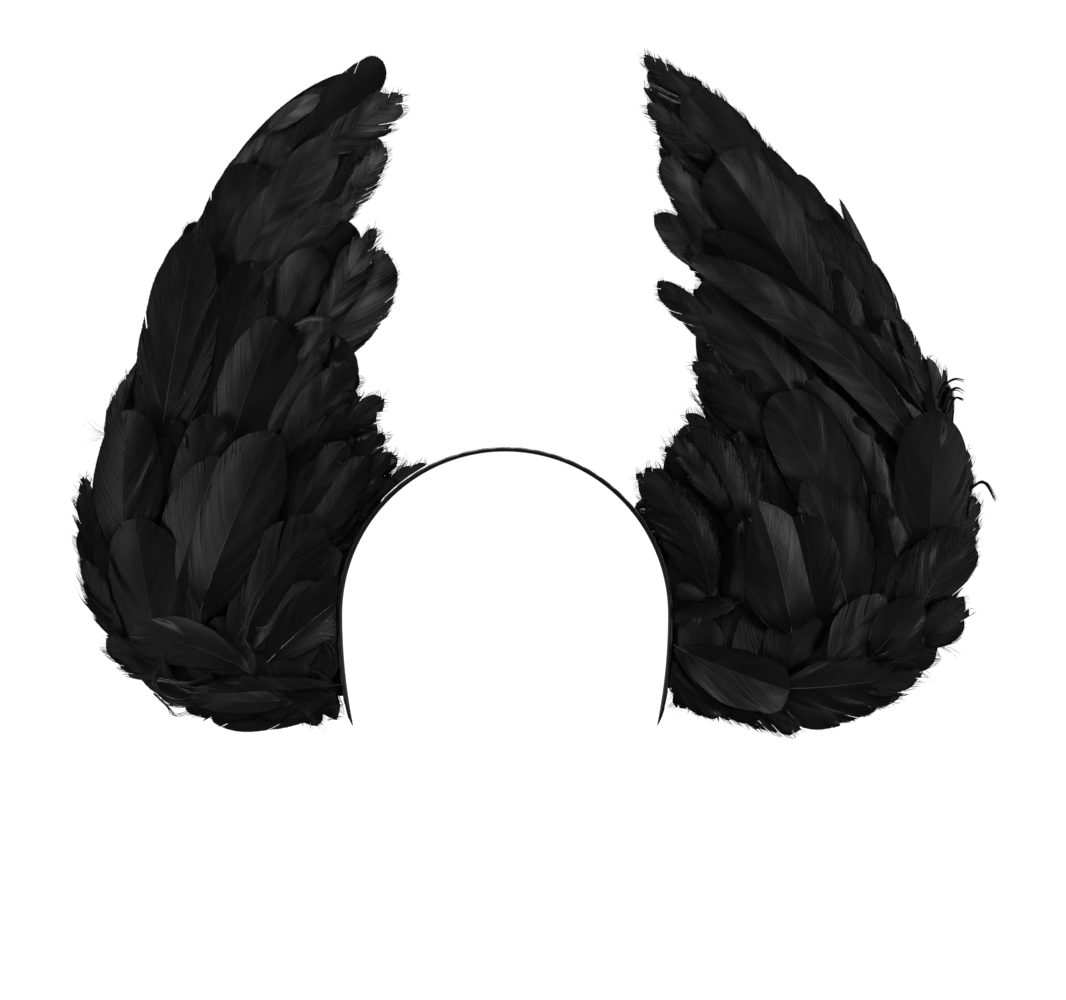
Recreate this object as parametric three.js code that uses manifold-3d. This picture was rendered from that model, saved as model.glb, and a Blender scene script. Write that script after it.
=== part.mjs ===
// Feather wing headband: a sprung arch band that carries a tall feathered wing on each side.
// Millimetres, +Z up, +Y towards the back of the head, origin at the crown inside the arch.
// Right and left are the wearer's, so the right wing is at -X.
import * as THREE from 'three';
import { mergeVertices } from 'three/addons/utils/BufferGeometryUtils.js';
import Module from 'manifold-3d';

const wasm = await Module();
wasm.setup();

// Driving dimensions
const HEAD_RADIUS = 78; // inner radius of the arch, half the breadth of the head
const BAND_THICKNESS = 2.6; // springy core with its ribbon wrap
const BAND_WIDTH = 12; // front to back
const BAND_EDGE = 0.8; // bevel along the band's edges
const LEG_LENGTH = 54; // each leg, below the half circle
const LEG_RADIUS = 270; // the legs lean in along this wide arc
const LEG_TIP = { length: 14, width: 7, thickness: 1.6 }; // rounded end of a leg
const WING_HEIGHT = 324;
const WING_SQUARES = 337.5; // squares of the drafting grid in the wing's height
const PANEL_THICKNESS = 2;
const SWEEP = { start: 80, reach: 125, depth: 16 }; // outer edge swept back
const LEAN = { reach: 190, depth: 10 }; // tip leaning back
const VANE_EDGE = 1; // thickness of a feather at its edges
const VANE_RIDGE = 1.5; // thickness of a feather along its shaft
const ROW_SLOPE = 0.155; // a row's rise away from the panel, per unit of height
const LEVEL_STEP = 1.9; // from one feather to the next one stacked on it in a row
const TAPE = { below: 4, above: 3, past: 3, merge: 5, pitch: 22 }; // round the feet, in squares
const TAPE_THICKNESS = 1.4; // of the tape over the lowest feathers' undersides
const GAP = 0.5; // clearance from the band to the panels and feathers
const ROW_GAP = 0.8; // clearance from a panel to its rows

// The wings are charted on a square grid: "out" from the centre plane, "up" from the crown.
const GRID = WING_HEIGHT / WING_SQUARES;
const LINE_INNER = 60; // the two places, out on the grid, where a row's lowest line is given
const LINE_OUTER = 220;

// Where each station of a feather lies along it, and the vane's spread there.
const STATIONS = [
  { along: 0, spread: 0.07 },
  { along: 0.22, spread: 0.4 },
  { along: 0.5, spread: 0.96 },
  { along: 0.82, spread: 0.9 },
  { along: 1, spread: 0.26 },
];

const PANEL_COLUMNS = ['up', 'inner', 'outer'];
const LINE_COLUMNS = ['row', 'inner', 'outer'];
const FEATHER_COLUMNS = ['row', 'footOut', 'footUp', 'tipOut', 'tipUp', 'width', 'bow', 'level'];
const BACK_COLUMNS = ['row', 'innerOut', 'innerUp', 'outerOut', 'outerUp', 'count',
  'innerAngle', 'outerAngle', 'length', 'width'];

// Every table below is in grid squares, angles in degrees from straight out.
const WINGS = [
  {
    name: 'right',
    side: -1,
    panel: [
      [-129, 60, 135],
      [-118, 60, 165],
      [-100, 60, 184],
      [-75, 60, 196],
      [-45, 60, 198],
      [-15, 50, 192],
      [10, 64, 186],
      [40, 82, 178],
      [75, 84, 166],
      [110, 88, 148],
      [140, 90, 128],
      [165, 82, 104],
    ],
    lines: [
      ['tip', 134, 134],
      ['upper', 86, 86],
      ['middle', 46, 48],
      ['flank', -6, -10],
      ['lower', -38, -60],
      ['shoulder', -114, -98],
      ['hem', -152, -136],
    ],
    feathers: [
      ['tip', 109, 150, 61, 197, 14, 0.02, 2],
      ['tip', 103, 142, 51, 178, 21, -0.03, 1],
      ['tip', 134, 148, 78, 189, 11, 0.06, 0],
      ['tip', 140, 140, 93, 177, 12, 0.03, 1],
      ['tip', 121, 136, 84, 180, 15, 0.02, 2],
      ['upper', 103, 105, 59, 152, 18, -0.03, 0],
      ['upper', 99, 100, 74, 133, 15, 0, 1],
      ['upper', 131, 93, 87, 157, 20, 0.02, 2],
      ['upper', 149, 88, 126, 143, 30, 0.02, 1],
      ['upper', 161, 94, 134, 143, 13, 0.04, 0],
      ['middle', 149, 53, 81, 122, 21, 0.04, 1],
      ['middle', 99, 62, 78, 115, 20, 0.02, 0],
      ['middle', 92, 48, 59, 99, 24, -0.08, 1],
      ['middle', 113, 58, 94, 101, 21, 0, 2],
      ['middle', 87, 64, 65, 109, 13, 0, 2],
      ['middle', 173, 60, 157, 109, 15, 0.04, 0],
      ['flank', 173, 3, 156, 110, 40, 0.02, 2],
      ['flank', 137, 0, 113, 67, 31, 0.02, 1],
      ['flank', 120, 10, 87, 67, 18, 0, 0],
      ['flank', 108, -5, 78, 45, 26, 0.02, 2],
      ['flank', 99, 0, 62, 29, 16, 0, 1],
      ['flank', 194, -8, 185, 40, 16, 0.04, 0],
      ['lower', 190, -40, 188, 21, 31, 0.02, 2],
      ['lower', 157, -45, 147, 19, 28, 0, 1],
      ['lower', 132, -44, 118, 8, 24, 0, 0],
      ['lower', 111, -40, 79, 5, 26, 0, 1],
      ['lower', 94, -40, 69, -2, 20, 0, 2],
      ['lower', 93, -26, 60, 10, 16, 0, 0],
      ['lower', 74, -30, 39, -6, 15, 0, 0],
      ['lower', 201, -56, 210, -18, 13, 0.04, 0],
      ['shoulder', 153, -84, 114, 10, 33, 0.02, 2],
      ['shoulder', 174, -90, 184, -33, 38, 0.02, 1],
      ['shoulder', 137, -99, 92, -33, 33, 0.02, 1],
      ['shoulder', 118, -105, 73, -67, 27, 0.03, 2],
      ['shoulder', 100, -110, 81, -80, 20, 0, 0],
      ['shoulder', 189, -96, 210, -54, 15, 0.06, 0],
      ['hem', 122, -114, 188, -92, 24, -0.08, 2],
      ['hem', 82, -116, 148, -118, 17, 0.02, 1],
      ['hem', 99, -123, 158, -122, 15, 0.03, 2],
      ['hem', 81, -126, 147, -133, 16, 0.03, 0],
      ['hem', 164, -114, 196, -100, 16, 0.06, 0],
      ['hem', 143, -124, 177, -117, 14, 0.06, 0],
    ],
    back: [
      ['back_tip', 106, 118, 136, 120, 2, 118, 130, 78, 32],
      ['back_upper', 110, 62, 158, 66, 3, 104, 118, 78, 38],
      ['back_middle', 112, 0, 170, 0, 3, 102, 98, 82, 38],
      ['back_lower', 104, -62, 180, -62, 3, 106, 91, 82, 42],
      ['back_hem', 98, -118, 156, -120, 3, 112, 70, 72, 42],
    ],
  },
  {
    name: 'left',
    side: 1,
    panel: [
      [-124, 60, 158],
      [-114, 60, 184],
      [-100, 60, 204],
      [-75, 60, 218],
      [-45, 60, 218],
      [-15, 60, 216],
      [10, 90, 212],
      [40, 104, 204],
      [75, 100, 188],
      [110, 98, 162],
      [140, 92, 140],
      [165, 84, 114],
    ],
    lines: [
      ['tip', 124, 122],
      ['upper', 88, 62],
      ['middle', 28, 20],
      ['flank', -12, -18],
      ['lower', -52, -60],
      ['shoulder', -96, -100],
      ['hem', -134, -138],
    ],
    feathers: [
      ['tip', 104, 160, 71, 197, 13, 0.02, 1],
      ['tip', 108, 152, 69, 182, 13, 0.02, 0],
      ['tip', 104, 146, 71, 174, 13, 0, 2],
      ['tip', 136, 126, 90, 178, 24, 0.02, 2],
      ['tip', 128, 146, 86, 191, 12, 0.04, 0],
      ['tip', 150, 126, 112, 179, 15, 0.04, 1],
      ['tip', 106, 130, 75, 165, 14, 0, 0],
      ['upper', 152, 75, 106, 147, 30, 0.02, 2],
      ['upper', 188, 68, 144, 114, 29, 0.03, 1],
      ['upper', 169, 98, 131, 155, 18, 0.06, 0],
      ['upper', 194, 67, 172, 110, 14, 0.05, 0],
      ['upper', 100, 112, 80, 147, 12, 0, 0],
      ['upper', 107, 94, 74, 119, 15, 0, 0],
      ['middle', 143, 27, 99, 86, 33, 0.03, 1],
      ['middle', 107, 58, 77, 84, 11, 0, 0],
      ['middle', 117, 26, 93, 45, 16, 0, 0],
      ['middle', 211, 24, 191, 68, 18, 0.03, 0],
      ['middle', 203, 27, 168, 62, 22, 0.03, 1],
      ['middle', 214, 34, 198, 73, 9, 0.04, 2],
      ['flank', 197, -4, 92, 95, 22, 0.1, 2],
      ['flank', 160, -14, 135, 26, 29, 0.02, 1],
      ['flank', 183, -16, 146, 32, 20, 0.04, 0],
      ['flank', 129, 6, 101, 39, 22, 0, 0],
      ['lower', 118, -36, 94, 13, 25, 0.02, 1],
      ['lower', 213, -44, 215, 21, 38, 0, 2],
      ['lower', 221, -47, 230, 0, 13, 0.04, 0],
      ['lower', 138, -22, 103, 6, 15, -0.06, 0],
      ['lower', 190, -58, 186, -20, 20, 0.03, 0],
      ['lower', 160, -50, 142, 10, 26, 0, 1],
      ['shoulder', 172, -84, 152, -11, 30, 0.03, 1],
      ['shoulder', 143, -93, 125, -24, 38, 0.03, 2],
      ['shoulder', 100, -72, 65, -11, 27, 0.06, 1],
      ['shoulder', 206, -78, 233, -44, 28, 0, 1],
      ['shoulder', 117, -75, 82, -84, 13, 0, 2],
      ['shoulder', 112, -84, 86, -66, 16, 0, 0],
      ['hem', 82, -96, 142, -118, 26, 0.02, 2],
      ['hem', 131, -118, 197, -114, 27, 0.03, 1],
      ['hem', 179, -106, 204, -71, 30, 0.03, 2],
      ['hem', 179, -107, 212, -93, 12, 0.04, 0],
      ['hem', 135, -121, 166, -137, 10, 0.03, 0],
      ['hem', 84, -106, 127, -134, 15, 0.06, 0],
      ['hem', 176, -118, 209, -110, 16, 0.06, 2],
      ['hem', 205, -94, 230, -72, 20, 0.06, 1],
      ['hem', 157, -120, 198, -122, 14, 0.06, 0],
    ],
    back: [
      ['back_tip', 116, 118, 142, 118, 2, 116, 127, 68, 32],
      ['back_upper', 122, 62, 170, 62, 3, 104, 117, 78, 40],
      ['back_middle', 127, 0, 190, -2, 3, 102, 100, 80, 42],
      ['back_lower', 110, -62, 202, -62, 4, 106, 90, 82, 42],
      ['back_hem', 100, -118, 172, -116, 3, 112, 66, 72, 46],
    ],
  },
];

const BLACK_FEATHER = { color: 0x121214, roughness: 0.55, metalness: 0 };
const MATERIALS = {
  ribbon: new THREE.MeshStandardMaterial({ color: 0x0c0c0d, roughness: 0.45, metalness: 0 }),
  panel: new THREE.MeshStandardMaterial({ color: 0x0b0b0c, roughness: 0.95, metalness: 0 }),
  front: new THREE.MeshStandardMaterial(BLACK_FEATHER),
  back: new THREE.MeshStandardMaterial(BLACK_FEATHER),
};

// Turns a table's rows into objects keyed by its column names.
function named(columns, rows) {
  return rows.map((row) => Object.fromEntries(columns.map((column, i) => [column, row[i]])));
}

// A manifold solid from points and triangles, turned so that its faces point out.
function solidFrom(points, triangles) {
  let volume = 0;
  for (const [a, b, c] of triangles) {
    volume += points[a].dot(new THREE.Vector3().crossVectors(points[b], points[c]));
  }
  const faces = volume < 0 ? triangles.map(([a, b, c]) => [a, c, b]) : triangles;
  return new wasm.Manifold(new wasm.Mesh({
    numProp: 3,
    vertProperties: new Float32Array(points.flatMap((p) => p.toArray())),
    triVerts: new Uint32Array(faces.flat()),
  }));
}

function geometryFrom(solid) {
  const { vertProperties, triVerts } = solid.getMesh();
  const geometry = new THREE.BufferGeometry();
  geometry.setAttribute('position', new THREE.BufferAttribute(vertProperties, 3));
  geometry.setIndex(new THREE.BufferAttribute(triVerts, 1));
  geometry.computeVertexNormals();
  return geometry;
}

function solidOfGeometry(geometry) {
  geometry.deleteAttribute('normal');
  geometry.deleteAttribute('uv');
  const { attributes, index } = mergeVertices(geometry);
  return new wasm.Manifold(new wasm.Mesh({
    numProp: 3,
    vertProperties: attributes.position.array,
    triVerts: new Uint32Array(index.array),
  }));
}

// A closed solid through rings of equal point count, with a flat fan at each end.
function loft(rings) {
  const size = rings[0].length;
  const triangles = [];
  for (let r = 0; r + 1 < rings.length; r += 1) {
    for (let i = 0; i < size; i += 1) {
      const a = r * size + i;
      const b = r * size + ((i + 1) % size);
      triangles.push([a, b, a + size], [b, b + size, a + size]);
    }
  }
  const last = (rings.length - 1) * size;
  for (let i = 1; i + 1 < size; i += 1) {
    triangles.push([0, i + 1, i], [last, last + i, last + i + 1]);
  }
  return solidFrom(rings.flat(), triangles);
}

const union = (solids) => solids.reduce((whole, next) => whole.add(next));

function smoothStep(t) {
  const s = THREE.MathUtils.clamp(t, 0, 1);
  return s * s * (3 - 2 * s);
}

// Stops along the band from the left leg's tip over the crown to the right leg's tip:
// a point on the inner face, the outward direction there and the distance from the nearer tip.
function bandStops() {
  const archStops = 20;
  const legShares = [1, 0.97, 0.74, 0.36];
  const legAngle = LEG_LENGTH / LEG_RADIUS;
  const legCentre = HEAD_RADIUS - LEG_RADIUS;
  const leg = legShares.map((share) => ({
    x: legCentre + LEG_RADIUS * Math.cos(share * legAngle),
    z: -HEAD_RADIUS - LEG_RADIUS * Math.sin(share * legAngle),
    outX: Math.cos(share * legAngle),
    outZ: -Math.sin(share * legAngle),
    fromTip: (1 - share) * LEG_LENGTH,
  }));
  const arch = Array.from({ length: archStops + 1 }, (_, i) => {
    const angle = (i / archStops) * Math.PI;
    const outX = Math.cos(angle);
    const outZ = Math.sin(angle);
    const z = HEAD_RADIUS * (outZ - 1);
    return { x: HEAD_RADIUS * outX, z, outX, outZ, fromTip: LEG_LENGTH };
  });
  const mirrored = leg.map((s) => ({ ...s, x: -s.x, outX: -s.outX })).reverse();
  return [...leg, ...arch, ...mirrored];
}

// The springy arch band, flat against the head, with its edges bevelled and its tips slimmer.
function headband() {
  const rings = bandStops().map((stop) => {
    const full = smoothStep(stop.fromTip / LEG_TIP.length);
    const half = THREE.MathUtils.lerp(LEG_TIP.width, BAND_WIDTH, full) / 2;
    const thick = THREE.MathUtils.lerp(LEG_TIP.thickness, BAND_THICKNESS, full);
    const edge = Math.min(BAND_EDGE, thick / 3);
    const section = [
      [0, -half + edge], [0, half - edge], [edge, half], [thick - edge, half],
      [thick, half - edge], [thick, -half + edge], [thick - edge, -half], [edge, -half],
    ];
    return section.map(([out, y]) => (
      new THREE.Vector3(stop.x + out * stop.outX, y, stop.z + out * stop.outZ)));
  });
  return loft(rings);
}

// Everything within the band's outer face, through the whole depth of the wings.
function headSpace() {
  const depth = 160;
  const floor = -200;
  const outline = bandStops().map((stop) => new THREE.Vector2(
    stop.x + (BAND_THICKNESS + GAP) * stop.outX,
    stop.z + (BAND_THICKNESS + GAP) * stop.outZ,
  ));
  outline.push(new THREE.Vector2(outline.at(-1).x, floor), new THREE.Vector2(outline[0].x, floor));
  const prism = new THREE.ExtrudeGeometry(new THREE.Shape(outline),
    { depth, bevelEnabled: false });
  prism.rotateX(Math.PI / 2).translate(0, depth / 2, 0);
  return solidOfGeometry(prism);
}

// Depth of the wing's middle surface, swept back at the outer edge and leaning back at the tip.
function middleDepth(x, z) {
  const across = Math.max(0, (x - SWEEP.start) / SWEEP.reach);
  const above = Math.max(0, z / LEAN.reach);
  return SWEEP.depth * across ** 2 + LEAN.depth * above ** 2;
}

// A point of a wing, lifted off its panel towards the front (face -1) or the back (face +1).
function wingPoint(side, face, { out, up }, lift) {
  const x = out * GRID;
  const z = up * GRID;
  const y = middleDepth(x, z) + face * (PANEL_THICKNESS / 2 + lift);
  return new THREE.Vector3(side * x, y, z);
}

// The stiff backing that the feather rows are stitched to, cut back to the band's outer face.
function wingPanel(wing, space) {
  const columns = 7;
  const stops = named(PANEL_COLUMNS, wing.panel);
  const rings = stops.map(({ up, inner, outer }) => {
    const across = Array.from({ length: columns }, (_, i) => (
      { out: THREE.MathUtils.lerp(inner, outer, i / (columns - 1)), up }));
    const front = across.map((at) => wingPoint(wing.side, -1, at, 0));
    const back = across.map((at) => wingPoint(wing.side, 1, at, 0)).reverse();
    return [...front, ...back];
  });
  return loft(rings).subtract(space);
}

// Height over the panel of a row's lowest feathers, which rise from the row's line.
function rowLift(line, { out, up }) {
  const share = (out - LINE_INNER) / (LINE_OUTER - LINE_INNER);
  const lineUp = THREE.MathUtils.lerp(line.inner, line.outer, share);
  return ROW_GAP + ROW_SLOPE * GRID * Math.max(0, up - lineUp);
}

// The line that a feather's shaft follows on the grid, bowed to one side of its chord.
function shaftOf(feather) {
  const foot = new THREE.Vector2(feather.footOut, feather.footUp);
  const tip = new THREE.Vector2(feather.tipOut, feather.tipUp);
  const chord = tip.clone().sub(foot);
  const sideways = new THREE.Vector2(chord.y, -chord.x).multiplyScalar(2 * feather.bow);
  const bend = foot.clone().add(tip).multiplyScalar(0.5).add(sideways);
  return new THREE.QuadraticBezierCurve(foot, bend, tip);
}

// One feather: a thin vane ridged along its shaft, narrow at its quill and rounded at its tip.
function featherSolid(side, face, line, feather) {
  const shaft = shaftOf(feather);
  const rings = STATIONS.map(({ along, spread }) => {
    const centre = shaft.getPoint(along);
    const heading = shaft.getTangent(along);
    const half = (feather.width / 2) * spread;
    const stack = feather.level * LEVEL_STEP * smoothStep(along * 4);
    const place = (across, rise) => {
      const at = {
        out: centre.x + heading.y * half * across,
        up: centre.y - heading.x * half * across,
      };
      return wingPoint(side, face, at, rowLift(line, at) + stack + rise);
    };
    return [place(-1, 0), place(1, 0), place(1, VANE_EDGE), place(0, VANE_RIDGE), place(-1, VANE_EDGE)];
  });
  return loft(rings);
}

// The same stops with more put evenly between any two that lie further apart than the pitch.
function closer(stops, pitch) {
  const first = stops[0];
  return stops.slice(1).reduce((filled, stop) => {
    const from = filled.at(-1);
    const steps = Math.ceil((stop.out - from.out) / pitch);
    for (let i = 1; i <= steps; i += 1) {
      filled.push(Object.fromEntries(Object.keys(stop).map((key) => (
        [key, THREE.MathUtils.lerp(from[key], stop[key], i / steps)]))));
    }
    return filled;
  }, [first]);
}

// The tape that a row's feet are sewn to, standing on the panel; feet close together share a stop.
function tapeSolid(side, face, line, feathers) {
  const feet = feathers.map(({ footOut, footUp }) => ({ out: footOut, low: footUp, high: footUp }));
  feet.sort((a, b) => a.out - b.out);
  const stops = [];
  for (const foot of feet) {
    const previous = stops.at(-1);
    if (previous && foot.out - previous.out < TAPE.merge) {
      previous.low = Math.min(previous.low, foot.low);
      previous.high = Math.max(previous.high, foot.high);
    } else {
      stops.push(foot);
    }
  }
  stops.unshift({ ...stops[0], out: stops[0].out - TAPE.past });
  stops.push({ ...stops.at(-1), out: feet.at(-1).out + TAPE.past });
  const rings = closer(stops, TAPE.pitch).map(({ out, low, high }) => {
    const corners = [[low - TAPE.below, false], [high + TAPE.above, false],
      [high + TAPE.above, true], [low - TAPE.below, true]];
    return corners.map(([up, top]) => {
      const lift = top ? rowLift(line, { out, up }) + TAPE_THICKNESS : ROW_GAP;
      return wingPoint(side, face, { out, up }, lift);
    });
  });
  return loft(rings);
}

// A row of feathers fused to the tape that runs through their feet, trimmed clear of the head.
function featherRow(side, face, line, feathers, space) {
  const vanes = feathers.map((feather) => featherSolid(side, face, line, feather));
  return union([tapeSolid(side, face, line, feathers), ...vanes]).subtract(space);
}

// The plain fan of feathers that covers one row of a wing's back.
function backFan(fan) {
  return Array.from({ length: fan.count }, (_, i) => {
    const share = i / (fan.count - 1);
    const angle = THREE.MathUtils.degToRad(THREE.MathUtils.lerp(fan.innerAngle, fan.outerAngle, share));
    const footOut = THREE.MathUtils.lerp(fan.innerOut, fan.outerOut, share);
    const footUp = THREE.MathUtils.lerp(fan.innerUp, fan.outerUp, share);
    return {
      footOut,
      footUp,
      tipOut: footOut + fan.length * Math.cos(angle),
      tipUp: footUp + fan.length * Math.sin(angle),
      width: fan.width,
      bow: 0.02,
      level: i % 2,
    };
  });
}

// The straight line through a back fan's feet, carried to the two places where lines are given.
function backLine(fan) {
  const slope = (fan.outerUp - fan.innerUp) / (fan.outerOut - fan.innerOut);
  const upAt = (out) => fan.innerUp + slope * (out - fan.innerOut);
  return { inner: upAt(LINE_INNER), outer: upAt(LINE_OUTER) };
}

function meshOf(name, solid, material) {
  const mesh = new THREE.Mesh(geometryFrom(solid), material);
  mesh.name = name;
  return mesh;
}

function wingGroup(wing, space) {
  const group = new THREE.Group();
  group.add(meshOf(`${wing.name}_wing_panel`, wingPanel(wing, space), MATERIALS.panel));
  const feathers = named(FEATHER_COLUMNS, wing.feathers);
  for (const line of named(LINE_COLUMNS, wing.lines)) {
    const own = feathers.filter((feather) => feather.row === line.row);
    const row = featherRow(wing.side, -1, line, own, space);
    group.add(meshOf(`${wing.name}_${line.row}_feathers`, row, MATERIALS.front));
  }
  for (const fan of named(BACK_COLUMNS, wing.back)) {
    const row = featherRow(wing.side, 1, backLine(fan), backFan(fan), space);
    group.add(meshOf(`${wing.name}_${fan.row}_feathers`, row, MATERIALS.back));
  }
  return group;
}

const part = new THREE.Group();
const space = headSpace();
part.add(meshOf('headband', headband(), MATERIALS.ribbon));
for (const wing of WINGS) {
  part.add(wingGroup(wing, space));
}

export default part;
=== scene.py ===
"""Feather wing headband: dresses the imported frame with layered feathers, felt panels and a wrapped band."""

import math

import bpy
import numpy as np
from bpy.props import FloatProperty, FloatVectorProperty, PointerProperty
from bpy.types import Operator, Panel, PropertyGroup
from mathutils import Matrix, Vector


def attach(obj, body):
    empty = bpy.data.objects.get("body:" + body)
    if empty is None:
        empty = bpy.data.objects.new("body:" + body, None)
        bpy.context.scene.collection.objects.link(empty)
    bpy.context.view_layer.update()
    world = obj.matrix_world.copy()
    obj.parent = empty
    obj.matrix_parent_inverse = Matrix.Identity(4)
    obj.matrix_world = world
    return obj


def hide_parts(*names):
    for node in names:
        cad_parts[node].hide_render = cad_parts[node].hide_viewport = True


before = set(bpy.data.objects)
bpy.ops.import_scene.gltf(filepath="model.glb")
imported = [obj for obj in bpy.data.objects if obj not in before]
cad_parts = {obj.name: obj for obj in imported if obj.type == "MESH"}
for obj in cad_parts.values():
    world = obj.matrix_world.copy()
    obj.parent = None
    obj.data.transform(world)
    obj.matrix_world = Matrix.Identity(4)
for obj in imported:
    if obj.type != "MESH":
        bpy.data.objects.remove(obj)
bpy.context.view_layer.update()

bl_info = {
    "name": "Feather Wing Headband",
    "version": (1, 0, 0),
    "blender": (4, 5, 0),
    "location": "3D View > Sidebar > Headpiece",
    "description": "Dresses a headband frame with two wings of layered black feathers",
    "category": "Add Mesh",
}

MM = 0.001
# Random phases are drawn from nothing up to this, nearly a full turn.
FULL_TURN = 6.28
# Each feather's noise starts at a place of its own in this range.
NOISE_RANGE = 50

# The wings are charted in grid squares: "out" from the centre plane, "up" from the crown.
LINE_INNER, LINE_OUTER = 60, 220
# Edges sharper than this, such as the thin rims of the vanes, are shaded as edges.
RIM_ANGLE = math.radians(75)
# The chart's tones run from 0 to this; the highest stand for painted glints.
PALEST_TONE = 10.0
# The share of a feather's tone that is left at its foot: partly the darker down at a real feather's base,
# partly painted shade where the foot runs beneath the feathers below.
FOOT_TONE = 0.3
SIDES = {"right": -1, "left": 1}

# up, inner edge, outer edge
PANEL_STOPS = {
    "right": [
        (-122, 60, 140), (-114, 60, 168), (-100, 60, 184), (-75, 60, 196), (-45, 60, 198), (-25, 60, 195),
        (-12, 66, 192), (10, 72, 186), (40, 86, 178), (75, 84, 166), (110, 88, 148), (140, 90, 128),
        (165, 82, 104),
    ],
    "left": [
        (-118, 60, 160), (-110, 60, 188), (-100, 60, 204), (-75, 60, 218), (-45, 60, 218), (-28, 62, 218),
        (-15, 80, 216), (10, 98, 212), (40, 106, 204), (75, 100, 188), (110, 98, 162), (140, 92, 140),
        (165, 84, 114),
    ],
}

# Where the plumage of each wing ends: up, inner edge, outer edge.
WING_EDGES = {
    "right": [
        (-139, 84, 118), (-130, 80, 162), (-110, 80, 188), (-90, 80, 198), (-60, 78, 208), (-30, 64, 211),
        (-10, 44, 204), (10, 60, 198), (30, 72, 192), (50, 74, 186), (80, 58, 175), (100, 64, 167),
        (125, 74, 151), (150, 62, 136), (175, 54, 110), (198, 60, 68),
    ],
    "left": [
        (-138, 150, 160), (-130, 104, 176), (-110, 80, 204), (-90, 80, 219), (-60, 78, 231), (-30, 65, 232),
        (-10, 64, 231), (10, 83, 227), (30, 93, 217), (50, 98, 208), (80, 80, 191), (110, 77, 174),
        (135, 78, 154), (160, 76, 127), (180, 70, 109), (198, 69, 76),
    ],
}

# The lowest line of each front row, at LINE_INNER and at LINE_OUTER.
ROW_LINES = {
    "right": {
        "tip": (134, 134), "upper": (86, 86), "middle": (46, 48), "flank": (-6, -10),
        "lower": (-38, -60), "shoulder": (-114, -98), "hem": (-152, -136),
    },
    "left": {
        "tip": (124, 122), "upper": (88, 62), "middle": (28, 20), "flank": (-12, -18),
        "lower": (-52, -60), "shoulder": (-96, -100), "hem": (-134, -138),
    },
}
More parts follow.
